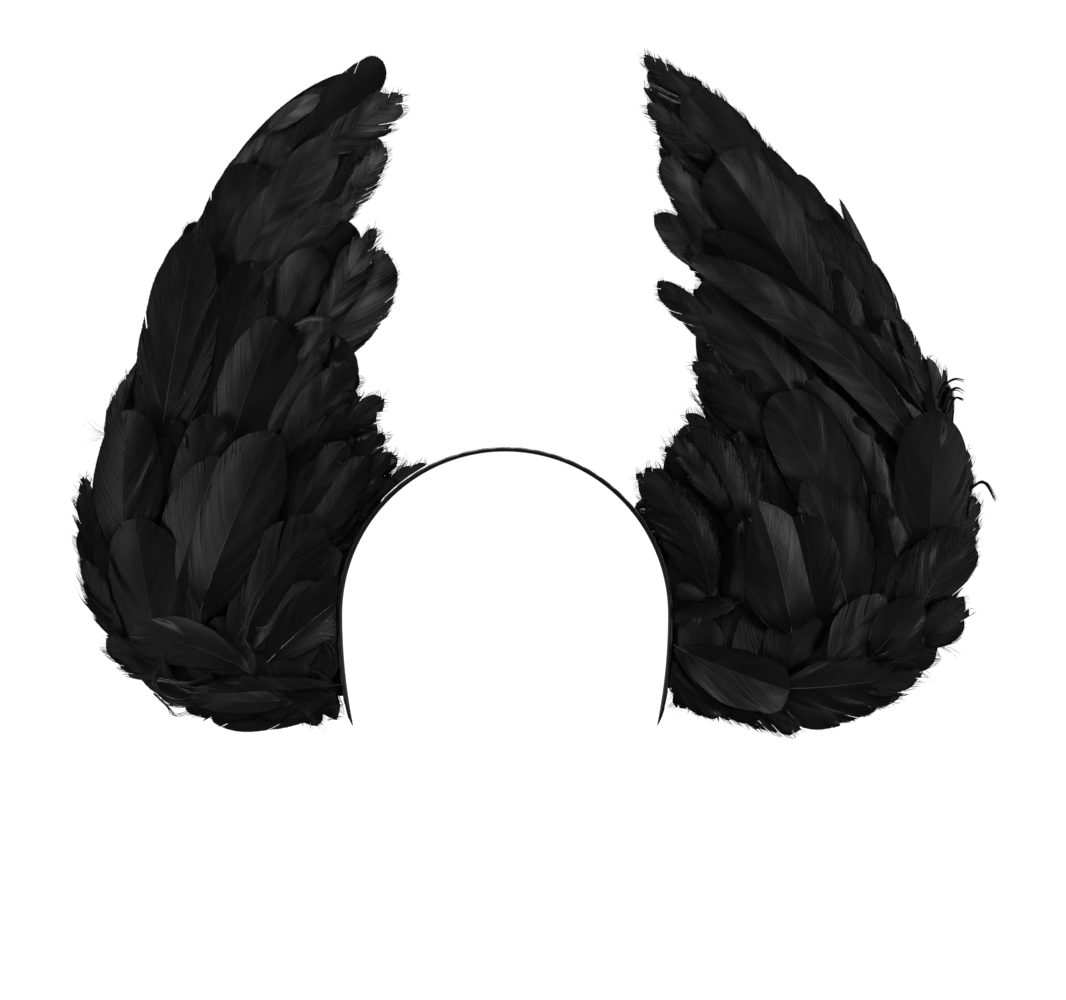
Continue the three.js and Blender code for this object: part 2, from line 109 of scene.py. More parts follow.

# In each row: foot out, foot up, tip out, tip up, width, bow, level, form, tone, shaft tone. A pair of tones
# is for the two vanes; a paler vane is partly painted light, for the vane that faces the lamps. Tones up to 1
# are the feathers' own dye, which differs from feather to feather; tones above 1 are painted sheen and
# highlights where the feathers catch the light.
FRONT_FEATHERS = {
    "right": {
        "tip": [
            (109, 148, 61, 195, 21, 0.01, 2, "square", 0.2, 0.3),
            (106, 146, 52, 179, 28, -0.03, 1, "ragged", 1.7, 0.3),
            (108, 124, 62, 156, 22, -0.02, 0, "soft", 1.5, 0.3),
            (131, 147, 78, 189, 12, 0.03, 0, "neat", 0.6, 0.3),
            (138, 136, 94, 174, 12, 0.02, 1, "soft", 1.8, 0.3),
            (139, 122, 116, 158, 14, 0.03, 0, "neat", 0.25, 0.3),
            (121, 136, 84, 180, 22, 0.02, 2, "neat", (2.6, 1.0), 0.4),
            # A small pale feather of tone 3: painted sheen, standing for a glossy patch.
            (118, 160, 92, 178, 10, 0.04, 3, "neat", 3.0, 0.3),
        ],
        "upper": [
            (103, 105, 59, 152, 18, -0.03, 0, "ragged", 2.6, 0.3),
            (99, 100, 74, 133, 15, 0, 1, "ragged", 2.0, 0.3),
            (131, 93, 87, 157, 28, 0.02, 2, "neat", (1.5, 0.5), 0.4),
            (147, 86, 124, 143, 33, 0.02, 1, "square", (0.6, 0.3), 0.4),
            (160, 90, 133, 138, 12, 0.02, 0, "neat", 0.2, 0.3),
        ],
        "middle": [
            (149, 53, 81, 122, 24, 0.04, 1, "neat", (1.6, 0.6), 0.9),
            (99, 62, 78, 115, 25, 0.02, 0, "neat", 0.1, 0.2),
            (97, 50, 59, 100, 31, -0.04, 1, "soft", 1.3, 0.3),
            (90, 66, 64, 112, 17, 0, 2, "ragged", 1.4, 0.3),
            (113, 58, 94, 101, 28, 0, 2, "neat", (0.4, 0.8), 0.3),
            (173, 60, 157, 109, 15, 0.04, 0, "neat", 0.2, 0.3),
            (108, 50, 88, 66, 12, 0.04, 3, "soft", 1.0, 0.3),
        ],
        "flank": [
            (172, 2, 153, 110, 38, 0.01, 2, "slit", 0.2, 0.6),
            (137, 0, 113, 67, 36, 0.02, 1, "neat", (0.15, 0.5), 0.5),
            (120, 10, 87, 67, 18, 0, 0, "soft", 0.8, 0.3),
            (117, 12, 92, 49, 16, 0, 1, "soft", 0.6, 0.3),
            (108, -5, 78, 45, 26, 0.02, 2, "soft", 0.5, 0.3),
            (101, 0, 60, 27, 22, 0, 1, "ragged", 0.5, 0.2),
            (103, 8, 73, 39, 14, 0, 0, "ragged", 0.25, 0.2),
            (194, -8, 185, 40, 16, 0.04, 0, "soft", 0.2, 0.3),
        ],
        "lower": [
            (190, -40, 188, 21, 36, 0.02, 2, "neat", 0.14, 0.4),
            (157, -45, 147, 19, 36, 0, 1, "neat", 0.15, 0.4),
            (132, -44, 118, 8, 24, 0, 0, "neat", 0.15, 0.3),
            (111, -40, 79, 5, 26, 0, 1, "soft", 0.3, 0.3),
            (94, -40, 69, -2, 20, 0, 2, "soft", 0.25, 0.3),
            (93, -26, 60, 10, 18, 0, 0, "ragged", 0.25, 0.2),
            (90, -34, 56, 0, 18, 0, 1, "ragged", 0.25, 0.2),
            (84, -44, 54, -14, 20, 0, 0, "soft", 0.2, 0.2),
            (74, -30, 39, -6, 15, 0, 0, "ragged", 0.25, 0.2),
            (200, -56, 211, -12, 16, 0.03, 0, "ragged", 0.2, 0.2),
            (201, -72, 213, -36, 14, 0.03, 0, "ragged", 0.2, 0.2),
        ],
        "shoulder": [
            (153, -84, 114, 10, 40, 0.02, 2, "neat", (0.3, 0.5), 0.6),
            (170, -112, 184, -33, 44, 0.02, 1, "neat", 0.1, 0.5),
            (137, -99, 92, -33, 38, 0.02, 1, "slit", 0.45, 0.5),
            (118, -105, 73, -67, 28, 0.03, 2, "neat", 0.5, 1.0),
            (100, -110, 81, -80, 20, 0, 0, "soft", 0.3, 0.3),
            (189, -96, 210, -54, 15, 0.06, 0, "ragged", 0.2, 0.2),
            (154, -93, 158, -67, 9, 0, 2, "slim", 0.4, 0.5),
        ],
        "hem": [
            (122, -114, 188, -92, 24, -0.08, 2, "neat", 0.14, 0.4),
            (82, -116, 148, -118, 17, 0.02, 1, "soft", 0.35, 0.4),
            (99, -123, 158, -122, 15, 0.03, 2, "soft", 0.25, 0.3),
            (81, -126, 147, -133, 16, 0.03, 0, "neat", 0.2, 0.3),
            (164, -112, 200, -92, 20, 0.04, 0, "ragged", 0.25, 0.2),
            (100, -122, 160, -128, 16, 0.03, 1, "soft", 0.25, 0.3),
            (84, -120, 122, -131, 15, 0.03, 1, "soft", 0.2, 0.3),
            (98, -108, 84, -134, 16, 0, -1.5, "ragged", 0.2, 0.2),
            (106, -112, 94, -137, 16, 0, -2, "soft", 0.15, 0.2),
            (143, -124, 177, -117, 14, 0.06, 0, "ragged", 0.25, 0.2),
        ],
    },
    "left": {
        "tip": [
            (106, 158, 69, 198, 13, 0.02, 1, "ragged", 0.4, 0.3),
            (108, 152, 69, 182, 13, 0.02, 0, "ragged", 0.9, 0.3),
            (104, 146, 71, 174, 13, 0, 2, "ragged", 0.7, 0.3),
            (136, 126, 90, 178, 27, 0.02, 2, "neat", (1.0, 0.5), 0.4),
            (125, 146, 84, 190, 12, 0.03, 0, "ragged", 0.35, 0.3),
            (144, 126, 104, 178, 14, 0.01, 1, "ragged", 0.35, 0.3),
            (106, 130, 75, 165, 14, 0, 0, "ragged", 0.3, 0.3),
            (107, 155, 71, 190, 12, 0.02, 0, "soft", 0.4, 0.3),
        ],
        "upper": [
            (152, 75, 106, 147, 38, 0.02, 2, "square", (0.35, 0.9), 0.5),
            (188, 68, 144, 114, 34, 0.03, 1, "soft", 0.5, 0.4),
            (164, 96, 128, 152, 15, 0.03, 0, "neat", 0.2, 0.3),
            (190, 64, 169, 106, 13, 0.03, 0, "soft", 0.2, 0.3),
            (106, 106, 79, 147, 18, 0, 0, "soft", 1.2, 0.3),
            (112, 88, 74, 118, 20, 0, 0, "soft", 1.2, 0.3),
            (124, 80, 90, 102, 20, 0, 0, "soft", 0.8, 0.3),
            (127, 92, 98, 108, 17, 0.03, 1, "soft", 0.15, 0.2),
            (186, 80, 167, 127, 8, 0, 0, "pointed", 0.15, 0.2),
        ],
        "middle": [
            (143, 27, 99, 86, 38, 0.03, 1, "neat", (0.4, 1.0), 0.5),
            (112, 54, 76, 85, 15, 0, 0, "soft", 0.8, 0.3),
            (117, 26, 93, 45, 16, 0, 0, "ragged", 0.8, 0.2),
            (208, 24, 189, 66, 16, 0.02, 0, "soft", 0.2, 0.3),
            (203, 27, 168, 62, 22, 0.03, 1, "neat", 0.3, 0.4),
            (211, 32, 196, 68, 9, 0.02, 2, "soft", 0.2, 0.2),
            (218, 6, 211, 48, 18, 0.02, 1, "ragged", 0.2, 0.2),
        ],
        "flank": [
            (197, -4, 92, 95, 22, 0.1, 2, "neat", 0.8, 0.6),
            (166, -44, 133, 28, 38, 0.05, 3.5, "neat", (0.3, 0.5), 0.5),
            (190, -60, 150, 36, 22, 0.09, 2.4, "neat", (0.2, 0.6), 0.4),
            (129, 6, 101, 39, 22, 0, 0, "soft", 0.5, 0.3),
            (113, 0, 90, 19, 12, 0, 1, "ragged", 0.2, 0.2),
        ],
        "lower": [
            (118, -36, 94, 13, 25, 0.02, 1, "soft", 0.3, 0.4),
            (106, -34, 80, 3, 18, 0, 0, "ragged", 0.2, 0.3),
            (102, -44, 70, -8, 20, 0, 0, "ragged", 0.2, 0.3),
            (108, -26, 84, 9, 14, 0, 2, "ragged", 0.6, 0.3),
            (213, -44, 215, 21, 38, 0, 2, "neat", 0.25, 0.4),
            (221, -47, 231, 2, 16, 0.04, 0, "ragged", 0.2, 0.2),
            (224, -62, 236, -22, 14, 0.03, 0, "ragged", 0.2, 0.2),
            (138, -22, 103, 6, 15, -0.06, 0, "neat", 0.55, 0.5),
            (190, -58, 186, -20, 20, 0.03, 0, "soft", 0.12, 0.3),
        ],
        "shoulder": [
            (172, -84, 150, -11, 38, 0.03, 1, "pointed", (0.3, 0.5), 0.6),
            (143, -93, 125, -24, 42, 0.03, 3.5, "pointed", (0.3, 0.45), 0.6),
            (100, -72, 65, -11, 28, 0.12, 1, "ragged", 0.18, 0.4),
            (200, -90, 231, -38, 34, 0, 1.6, "soft", 0.1, 0.6),
            (117, -75, 82, -84, 13, 0, 2, "ragged", 0.2, 0.3),
            (112, -84, 86, -66, 16, 0, 0, "soft", 0.3, 0.3),
        ],
        "hem": [
            (82, -96, 142, -119, 29, 0.02, 2, "square", (0.15, 1.1), 0.6),
            (132, -118, 198, -112, 34, 0.03, 1, "soft", 0.3, 0.7),
            (180, -106, 205, -73, 25, 0.03, 4, "neat", 0.3, 0.5),
            (179, -107, 212, -93, 14, 0.06, 1, "slit", 0.3, 0.3),
            (160, -108, 189, -72, 26, 0, 0.4, "slit", 1.7, 0.1),
            (94, -106, 86, -128, 14, 0, -1.5, "ragged", 0.2, 0.2),
            (100, -108, 98, -132, 16, 0, -2, "soft", 0.15, 0.2),
            (130, -118, 168, -137, 18, 0.03, 0, "pointed", 0.25, 0.3),
            (76, -104, 112, -130, 20, 0.02, 0, "soft", 0.25, 0.3),
            (84, -106, 127, -134, 15, 0.06, 0, "ragged", 0.25, 0.3),
            (176, -118, 209, -110, 16, 0.06, 2, "ragged", 0.25, 0.3),
            (202, -96, 230, -72, 22, 0.06, 1, "ragged", 0.25, 0.3),
            (178, -110, 217, -98, 20, 0.04, 0, "ragged", 0.2, 0.3),
            (157, -120, 198, -122, 14, 0.06, 0, "ragged", 0.25, 0.3),
            (104, -114, 149, -138, 18, 0.04, -1, "ragged", 0.2, 0.2),
        ],
    },
}

# Loose barbs in bundles: how many, how far they stray in squares, lift at the start and radius in mm, tone,
# and the places (out, up) that they run past. Bundles of tone 3 and more are painted glints: short bright
# strands that stand for highlights.
LOOSE_BARBS_AND_GLINTS = {
    "right": [
        (5, 0.9, 6, 0.2, 0.15, ((59, -10), (57, -4), (56, 1))),
        (6, 1.2, 6, 0.2, 0.15, ((55, -12), (51, -7), (48, -2))),
        (
            6, 1.6, 13, 0.3, 1.2,
            ((170, -102), (176, -109), (175, -118), (167, -124), (158, -125), (147, -116)),
        ),
        (5, 1.4, 13, 0.28, 1.0, ((172, -101), (170, -112), (160, -119), (150, -118))),
        (5, 1.2, 12, 0.26, 1.0, ((173, -114), (160, -116), (150, -113))),
        (2, 0.5, 12, 0.2, 0.8, ((173, -98), (159, -106), (146, -114))),
        (6, 1.2, 6, 0.3, 0.15, ((184, -112), (191, -106), (197, -102), (204, -98))),
        (5, 1.0, 6, 0.28, 0.2, ((176, -121), (169, -128), (166, -132), (161, -131), (156, -129))),
        (9, 2.0, 4, 0.11, 0.3, ((196, 4), (201, 9), (207, 12), (211, 17))),
        (6, 2.0, 4, 0.11, 0.3, ((197, 6), (203, 8), (209, 7))),
        (6, 1.0, 5, 0.34, 0.15, ((198, -80), (205, -74), (211, -67), (215, -60))),
        (5, 1.0, 5, 0.3, 0.15, ((198, -85), (205, -80), (211, -74), (214, -67))),
        (5, 1.0, 5, 0.3, 0.15, ((198, -72), (205, -64), (210, -55), (212, -46))),
        (7, 1.6, 7, 0.3, 0.5, ((131, -96), (128, -82), (121, -68), (112, -56))),
        # Painted glints: the bright bundles below, of tone 3 and more, stand for highlights.
        (3, 0.8, 9, 0.09, 6, ((128, -88), (131, -85))),
        (3, 0.8, 11, 0.09, 6, ((127, -78), (130, -75))),
        (6, 0.5, 11, 0.14, 8, ((116, -85), (119, -87), (124, -88))),
        (4, 0.6, 8, 0.12, 3, ((127, -98), (129, -95), (131, -91))),
        (3, 0.3, 13, 0.1, 5, ((158, 27), (160, 31))),
        (3, 0.3, 12, 0.1, 4, ((106, 33), (109, 35))),
        (3, 0.3, 12, 0.1, 4, ((81, -6), (84, -4))),
        (6, 0.5, 16, 0.12, 5, ((104, 63), (97, 66), (89, 66))),
        (8, 3.0, 6, 0.13, 0.3, ((100, -128), (94, -134), (86, -138))),
        (10, 4.0, 8, 0.12, 1.2, ((92, -92), (86, -96), (82, -104), (86, -110))),
    ],
    "left": [
        (6, 0.9, 6, 0.22, 0.15, ((86, -8), (81, -3), (77, 2))),
        (7, 0.9, 6, 0.22, 0.15, ((88, -6), (83, 0), (78, 8))),
        (8, 1.8, 6, 0.2, 0.2, ((90, -2), (86, 5), (83, 11))),
        (6, 1.0, 6, 0.22, 0.15, ((97, 10), (93, 15), (89, 20))),
        (5, 0.9, 6, 0.22, 0.15, ((97, 8), (93, 11), (89, 14))),
        (6, 0.9, 6, 0.2, 0.15, ((98, 22), (95, 26), (92, 31))),
        (6, 0.35, 5, 0.62, 0.15, ((218, 27), (221, 34), (226, 37), (231, 36))),
        (6, 0.35, 5, 0.62, 0.15, ((222, 19), (226, 27), (231, 26))),
        # Painted glints: bright strands at the tip, standing for highlights.
        (6, 0.5, 13, 0.32, 6, ((92, 172), (84, 175), (76, 179))),
        (6, 0.5, 13, 0.32, 6, ((86, 177), (79, 180), (71, 184))),
        (8, 1.5, 20, 0.15, 4, ((121, -33), (131, -42), (140, -51))),
        (6, 0.35, 5, 0.62, 0.15, ((220, 22), (223, 30), (227, 32), (231, 30))),
        (12, 0.6, 6, 0.55, 0.15, ((226, -27), (234, -18), (241, -15), (247, -24))),
        (8, 2.4, 6, 0.24, 0.2, ((224, -30), (230, -25), (233, -20))),
        (14, 4.0, 12, 0.13, 0.9, ((184, -10), (190, -16), (188, -24), (194, -22))),
        (14, 4.0, 12, 0.13, 0.8, ((186, -22), (188, -32), (194, -34), (197, -29))),
        (14, 4.0, 12, 0.13, 0.8, ((189, -46), (196, -49), (201, -47))),
        (16, 4.0, 12, 0.13, 0.9, ((190, -54), (195, -57), (193, -64), (198, -68))),
        (4, 1.0, 9, 0.3, 0.5, ((84, -98), (92, -112), (104, -124), (116, -130))),
        (3, 1.0, 11, 0.3, 0.7, ((88, -98), (102, -108), (118, -120), (129, -130))),
        (6, 2.5, 8, 0.18, 0.3, ((80, -104), (90, -116), (104, -126), (114, -134))),
        (8, 2.5, 6, 0.14, 0.3, ((100, -122), (112, -130), (122, -137))),
        (8, 2.5, 6, 0.14, 0.25, ((216, -96), (224, -99), (230, -103))),
        (8, 2.5, 6, 0.14, 0.25, ((204, -108), (211, -111), (216, -117))),
        (8, 2.5, 6, 0.14, 0.25, ((230, -52), (236, -48), (239, -44))),
    ],
}

# The share of its length that a front feather runs on, unseen, below its charted foot.
HIDDEN_FOOT = {"tip": 0.2, "upper": 0.3, "middle": 0.3, "flank": 0.26, "lower": 0.34, "shoulder": 0.08}

# Rows that fan out evenly: inner out, inner up, outer out, outer up, count, inner angle, outer angle, length,
# width
BACK_FANS = {
    "right": {
        "back_tip": (104, 118, 138, 120, 5, 116, 130, 78, 22),
        "back_upper": (104, 62, 162, 66, 7, 102, 119, 79, 25),
        "back_middle": (100, 0, 178, 0, 8, 102, 96, 82, 27),
        "back_lower": (96, -62, 188, -62, 8, 106, 90, 82, 28),
        "back_hem": (90, -118, 162, -120, 8, 112, 66, 72, 28),
    },
    "left": {
        "back_tip": (112, 118, 146, 118, 5, 116, 128, 68, 22),
        "back_upper": (114, 62, 176, 62, 7, 103, 118, 78, 26),
        "back_middle": (116, 0, 197, -2, 8, 102, 99, 80, 28),
        "back_lower": (116, -62, 209, -62, 8, 104, 88, 80, 30),
        "back_hem": (92, -118, 178, -116, 8, 112, 62, 72, 31),
    },
}

# The dark layer under the front rows, charted as the back rows are.
UNDER_FANS = {
    "right": {
        "tip": (104, 120, 136, 120, 5, 116, 130, 66, 20),
        "upper": (102, 78, 158, 78, 7, 100, 118, 62, 24),
        "middle": (98, 40, 172, 38, 8, 98, 106, 60, 25),
        "flank": (94, 0, 182, -6, 9, 98, 97, 58, 26),
        "lower": (72, -50, 190, -52, 10, 98, 90, 60, 28),
        "shoulder": (68, -92, 184, -94, 10, 100, 80, 60, 28),
        "hem": (68, -122, 150, -124, 8, 98, 50, 46, 28),
    },
    "left": {
        "tip": (110, 120, 146, 118, 5, 116, 128, 60, 20),
        "upper": (114, 78, 174, 76, 7, 100, 118, 60, 25),
        "middle": (116, 42, 192, 38, 8, 97, 108, 58, 26),
        "flank": (114, 0, 202, -6, 9, 97, 98, 56, 27),
        "lower": (98, -44, 212, -52, 11, 98, 88, 56, 28),
        "shoulder": (68, -92, 206, -94, 12, 99, 76, 60, 29),
        "hem": (68, -118, 172, -118, 9, 98, 46, 46, 29),
    },
}

# widest place, roundness of tip, barb angle, mesh step in mm, steps in a lock, draw of a lock, where locks
# part, unevenness of locks, gap of the fringe in mm, its reach in mm, its disorder, strength of streaks,
# ripple in mm
FORM_COLUMNS = (
    "peak", "tip_power", "angle", "step", "lock", "draw", "part",
    "fray", "gap", "reach", "mess", "streak", "ripple",
)
FORMS = {
    "neat": (0.58, 2.3, 27, 2.4, 9, 0.018, 0.80, 0.03, 1.0, 0.6, 0.3, 0.45, 0.18),
    "pointed": (0.50, 1.5, 24, 2.2, 10, 0.018, 0.80, 0.03, 1.0, 0.8, 0.4, 0.6, 0.22),
    "square": (0.68, 3.0, 30, 2.2, 9, 0.018, 0.80, 0.03, 0.8, 0.8, 0.4, 0.6, 0.18),
    "slim": (0.55, 1.5, 20, 1.6, 10, 0.03, 0.80, 0.05, 0.7, 0.9, 0.5, 0.6, 0.12),
    "soft": (0.60, 2.3, 28, 2.0, 5, 0.04, 0.80, 0.06, 0.45, 1.9, 0.6, 0.9, 0.32),
    "ragged": (0.60, 2.0, 28, 1.8, 3.5, 0.08, 0.75, 0.11, 0.40, 3.0, 0.9, 1.1, 0.45),
    "slit": (0.60, 2.3, 24, 1.9, 6, 0.11, 0.25, 0.03, 1.0, 0.8, 0.4, 0.8, 0.25),
    "under": (0.60, 2.2, 28, 5.0, 40, 0.04, 0.90, 0.02, 5.0, 0.8, 0.5, 0.6, 0.10),
}

# The forms that the back rows are drawn from, and those of the feathers beside a fluffy or a firm one.
BACK_FORMS = ("neat", "neat", "soft", "square", "neat", "slit")
FLUFFY_FORMS = ("soft", "ragged", "soft", "soft")
FIRM_FORMS = ("neat", "neat", "soft", "neat")

# The triangles of a barb end: two rings of three points, and a tip.
NEEDLE = np.array(
    [
        (0, 2, 1), (0, 1, 4), (0, 4, 3), (1, 2, 5), (1, 5, 4),
        (2, 0, 3), (2, 3, 5), (3, 4, 6), (4, 5, 6), (5, 3, 6),
    ]
)

# The band's ends are rounded over the first length and narrowed over the second, to these shares of its size.
END_ROUND, END_TAPER = 0.006, 0.014
END_WIDTH, END_THICKNESS = 0.6, 0.62
# The ribbon's wrap: its rise at the lap, the share of a turn that laps, its slant, and where it starts.
WRAP_RISE, WRAP_LAP, WRAP_SLANT, WRAP_START = 0.00022, 0.1, 0.45, 0.004

# Room round the band: the panels' edges touch its ribbon and the feathers stay clear of it.
PANEL_CLEARANCE, FEATHER_CLEARANCE = -0.0002, 0.0003
PANEL_ROWS, PANEL_COLUMNS = 56, 24
# How far a panel's faces draw in at its rim.
RIM_DROP = 0.5 * MM

# The tape over a back row's feet, in squares: feet this close share a stop, and it runs on past the end feet,
# below the lowest and above the highest.
TAPE_JOIN, TAPE_END, TAPE_BELOW, TAPE_ABOVE = 5, 3, 4, 3
TAPE_STOPS, TAPE_RISE, TAPE_MAP_LENGTH = 40, 1.1 * MM, 8
# The corners round the tape, as shares of its height and of its lift.
TAPE_CORNERS = ((0, 0), (1, 0), (1, 0.6), (0.9, 1), (0.1, 1), (0, 0.6))
# Feathers fill the bake map up to here, and the tape the strip above.
MAP_TOP = 0.98

# Where a feather is held against its wing's outline: shares of its length and, to both sides, of its width.
FIT_PLACES = ((0.35, 0.45), (0.6, 0.5), (0.8, 0.42), (0.93, 0.25), (1.0, 0.0))
# A feather that doesn't fit is made smaller by this share, this many times at most.
TRIM_SHARE, TRIM_TRIES = 0.93, 7
# The feathers of a fan vary in length within these shares.
FAN_REACH = (0.9, 1.03)
# Where the seeds of each kind of draw start.
SEEDS = {"companion": 31, "back_row": 77, "barb": 400, "back": 5000, "under_place": 9000, "under": 12000}

FLOOR_RADIUS, FLOOR_SIDES = 80, 64
SKY_POWER, SKY_ANGLE, SKY_HEADING = 4.2, math.radians(30), (0.15, -0.3, -0.94)
# The room's strength as a light, and as seen behind the piece.
ROOM_LIGHT, ROOM_SEEN = 0.06, 1.05
SENSOR_WIDTH, VIEW_END = 36, 400
# Soft boxes, all aimed at the crown: place, size, power
SOFTBOXES = {
    "left_softbox": ((-1.6, -1.1, -0.1), 0.7, 6.6),
    "right_softbox": ((1.7, -0.9, -0.1), 0.6, 9),
    "top_softbox": ((-0.2, -1.0, 1.6), 0.7, 14),
    "table_bounce": ((0.0, -0.55, -0.27), 0.8, 0.06),
    "back_softbox": ((0.2, 1.6, 0.6), 1.0, 12),
}


class BandSizes(PropertyGroup):
    """Sizes of the arch band."""

    arch_radius: FloatProperty(
        name="Arch Radius", description="Inner radius of the arch", default=0.078, unit="LENGTH"
    )
    thickness: FloatProperty(
        name="Thickness", description="Core and ribbon together", default=0.0026, unit="LENGTH"
    )
    width: FloatProperty(name="Width", description="Front to back", default=0.012, unit="LENGTH")
    leg_length: FloatProperty(
        name="Leg Length", description="Each leg below the half circle",
        default=0.054, unit="LENGTH",
    )
    leg_radius: FloatProperty(
        name="Leg Radius", description="Arc along which the legs lean in",
        default=0.27, unit="LENGTH",
    )
    wrap_pitch: FloatProperty(
        name="Wrap Pitch", description="Length of band that one turn of ribbon covers",
        default=0.0085, unit="LENGTH",
    )


class WingSizes(PropertyGroup):
    """Sizes that the two wings share."""

    square: FloatProperty(
        name="Grid Square", description="Side of one square of the wing chart",
        default=0.00096, unit="LENGTH",
    )
    sweep_start: FloatProperty(
        name="Sweep Start", description="Distance from the centre where the sweep begins",
        default=0.08, unit="LENGTH",
    )
    sweep_reach: FloatProperty(
        name="Sweep Reach", description="Distance over which the sweep builds up",
        default=0.125, unit="LENGTH",
    )
    sweep_depth: FloatProperty(
        name="Sweep Depth", description="How far the outer edge is swept back",
        default=0.016, unit="LENGTH",
    )
    lean_reach: FloatProperty(
        name="Lean Reach", description="Height over which the tip leans back",
        default=0.19, unit="LENGTH",
    )
    lean_depth: FloatProperty(
        name="Lean Depth", description="How far the tip leans back", default=0.01, unit="LENGTH"
    )
    panel_thickness: FloatProperty(
        name="Panel Thickness", description="Stiffened felt backing", default=0.002, unit="LENGTH"
    )
    row_gap: FloatProperty(
        name="Row Gap", description="From the panel to the feathers' undersides",
        default=0.0008, unit="LENGTH",
    )
    row_slope: FloatProperty(
        name="Row Slope", description="Rise of a row off the panel per unit of height",
        default=0.155,
    )
    level_step: FloatProperty(
        name="Level Step", description="Between stacked feathers of one row",
        default=0.0019, unit="LENGTH",
    )


class FeatherSizes(PropertyGroup):
    """Sizes of a single feather's parts."""

    vane_thickness: FloatProperty(
        name="Vane Thickness", description="Thickness of the vane beside the shaft",
        default=0.0001, unit="LENGTH",
    )
    barb_radius: FloatProperty(
        name="Barb Radius", description="Radius of a loose barb at its foot",
        default=0.00011, unit="LENGTH",
    )
    shaft_radius: FloatProperty(
        name="Shaft Radius", description="Radius of the shaft at its foot",
        default=0.0002, unit="LENGTH",
    )
    roof: FloatProperty(
        name="Roof", description="Slope of each vane down from the shaft", default=0.06
    )
    camber: FloatProperty(
        name="Camber", description="Further drop of the vane's edge as a share of its half width",
        default=0.18,
    )


class Finishes(PropertyGroup):
    """Colours of the finishes."""

    feather_dark: FloatVectorProperty(
        name="Dark Feather", description="Dyed vane at its darkest",
        subtype="COLOR", default=(0.0050, 0.0050, 0.0051),
    )
    # The palest end of the vane colour: painted glints and sheen at the highest tones; the vanes' own dye
    # reaches only a small share of the way towards it.
    feather_pale_and_glint: FloatVectorProperty(
        name="Light Feather", description="Dyed vane at its palest",
        subtype="COLOR", default=(0.4, 0.4, 0.403),
    )
    shaft_pale: FloatVectorProperty(
        name="Pale Shaft", description="Horn of the palest shafts",
        subtype="COLOR", default=(0.5, 0.495, 0.48),
    )
    ribbon: FloatVectorProperty(
        name="Ribbon", description="Satin ribbon round the band",
        subtype="COLOR", default=(0.006, 0.006, 0.0065),
    )
    felt: FloatVectorProperty(
        name="Felt", description="Stiffened felt of the panels",
        subtype="COLOR", default=(0.004, 0.004, 0.0043),
    )
    floor: FloatVectorProperty(
        name="Floor", description="Plain pale floor", subtype="COLOR", default=(0.9, 0.9, 0.9)
    )


class StageSizes(PropertyGroup):
    """Camera and light of the stage."""

    view_distance: FloatProperty(
        name="View Distance", description="From the camera to the band", default=2.6, unit="LENGTH"
    )
    view_width: FloatProperty(
        name="View Width", description="Width of the picture at the band",
        default=0.5117, unit="LENGTH",
    )
    view_right: FloatProperty(
        name="View Right", description="Middle of the picture, right of the crown",
        default=0.0134, unit="LENGTH",
    )
    view_up: FloatProperty(
        name="View Up", description="Middle of the picture, above the crown",
        default=-0.023, unit="LENGTH",
    )
    floor_height: FloatProperty(
        name="Floor Height", description="Height of the floor under the crown",
        default=-0.30, unit="LENGTH",
    )


def smooth_step(t):
    s = np.clip(t, 0.0, 1.0)
    return s * s * (3.0 - 2.0 * s)


def wing_points(sizes, side, face, out, up, lift):
    """Points of a wing from the chart's squares, lifted off the panel to the front (-1) or the back (+1)."""
    x = out * sizes.square
    z = up * sizes.square
    across = np.maximum(0.0, (x - sizes.sweep_start) / sizes.sweep_reach)
    above = np.maximum(0.0, z / sizes.lean_reach)
    middle = sizes.sweep_depth * across**2 + sizes.lean_depth * above**2
    y = middle + face * (sizes.panel_thickness / 2 + lift)
    return np.stack([SIDES[side] * x, y, z], axis=-1)


def row_lift(sizes, line, out, up, settle=1.0):
    """Height over the panel of a row's lowest feathers, which rise from the row's line."""
    share = (out - LINE_INNER) / (LINE_OUTER - LINE_INNER)
    line_up = line[0] + (line[1] - line[0]) * share
    return sizes.row_gap + settle * sizes.row_slope * sizes.square * np.maximum(0.0, up - line_up)


def clear_of_band(band, points, clearance=FEATHER_CLEARANCE):
    """Points pushed outwards where they would enter the arch or its legs."""
    points = points.copy()
    x, z = points[:, 0], points[:, 2]
    reach = band.arch_radius + band.thickness + clearance
    above = z + band.arch_radius
    distance = np.hypot(x, above)
    inside = (above >= 0) & (distance < reach)
    grow = np.where(inside, reach / np.maximum(distance, 1e-6), 1.0)
    points[:, 0] = x * grow
    points[:, 2] = np.where(inside, above * grow - band.arch_radius, z)
    drop = np.clip(-above / band.leg_radius, 0.0, 1.0)
    leg_reach = band.leg_radius + band.thickness + clearance
    leg = band.arch_radius - band.leg_radius + leg_reach * np.cos(np.arcsin(drop))
    low = (above < 0) & (np.abs(x) < leg)
    points[:, 0] = np.where(low, np.sign(x) * leg, points[:, 0])
    return points


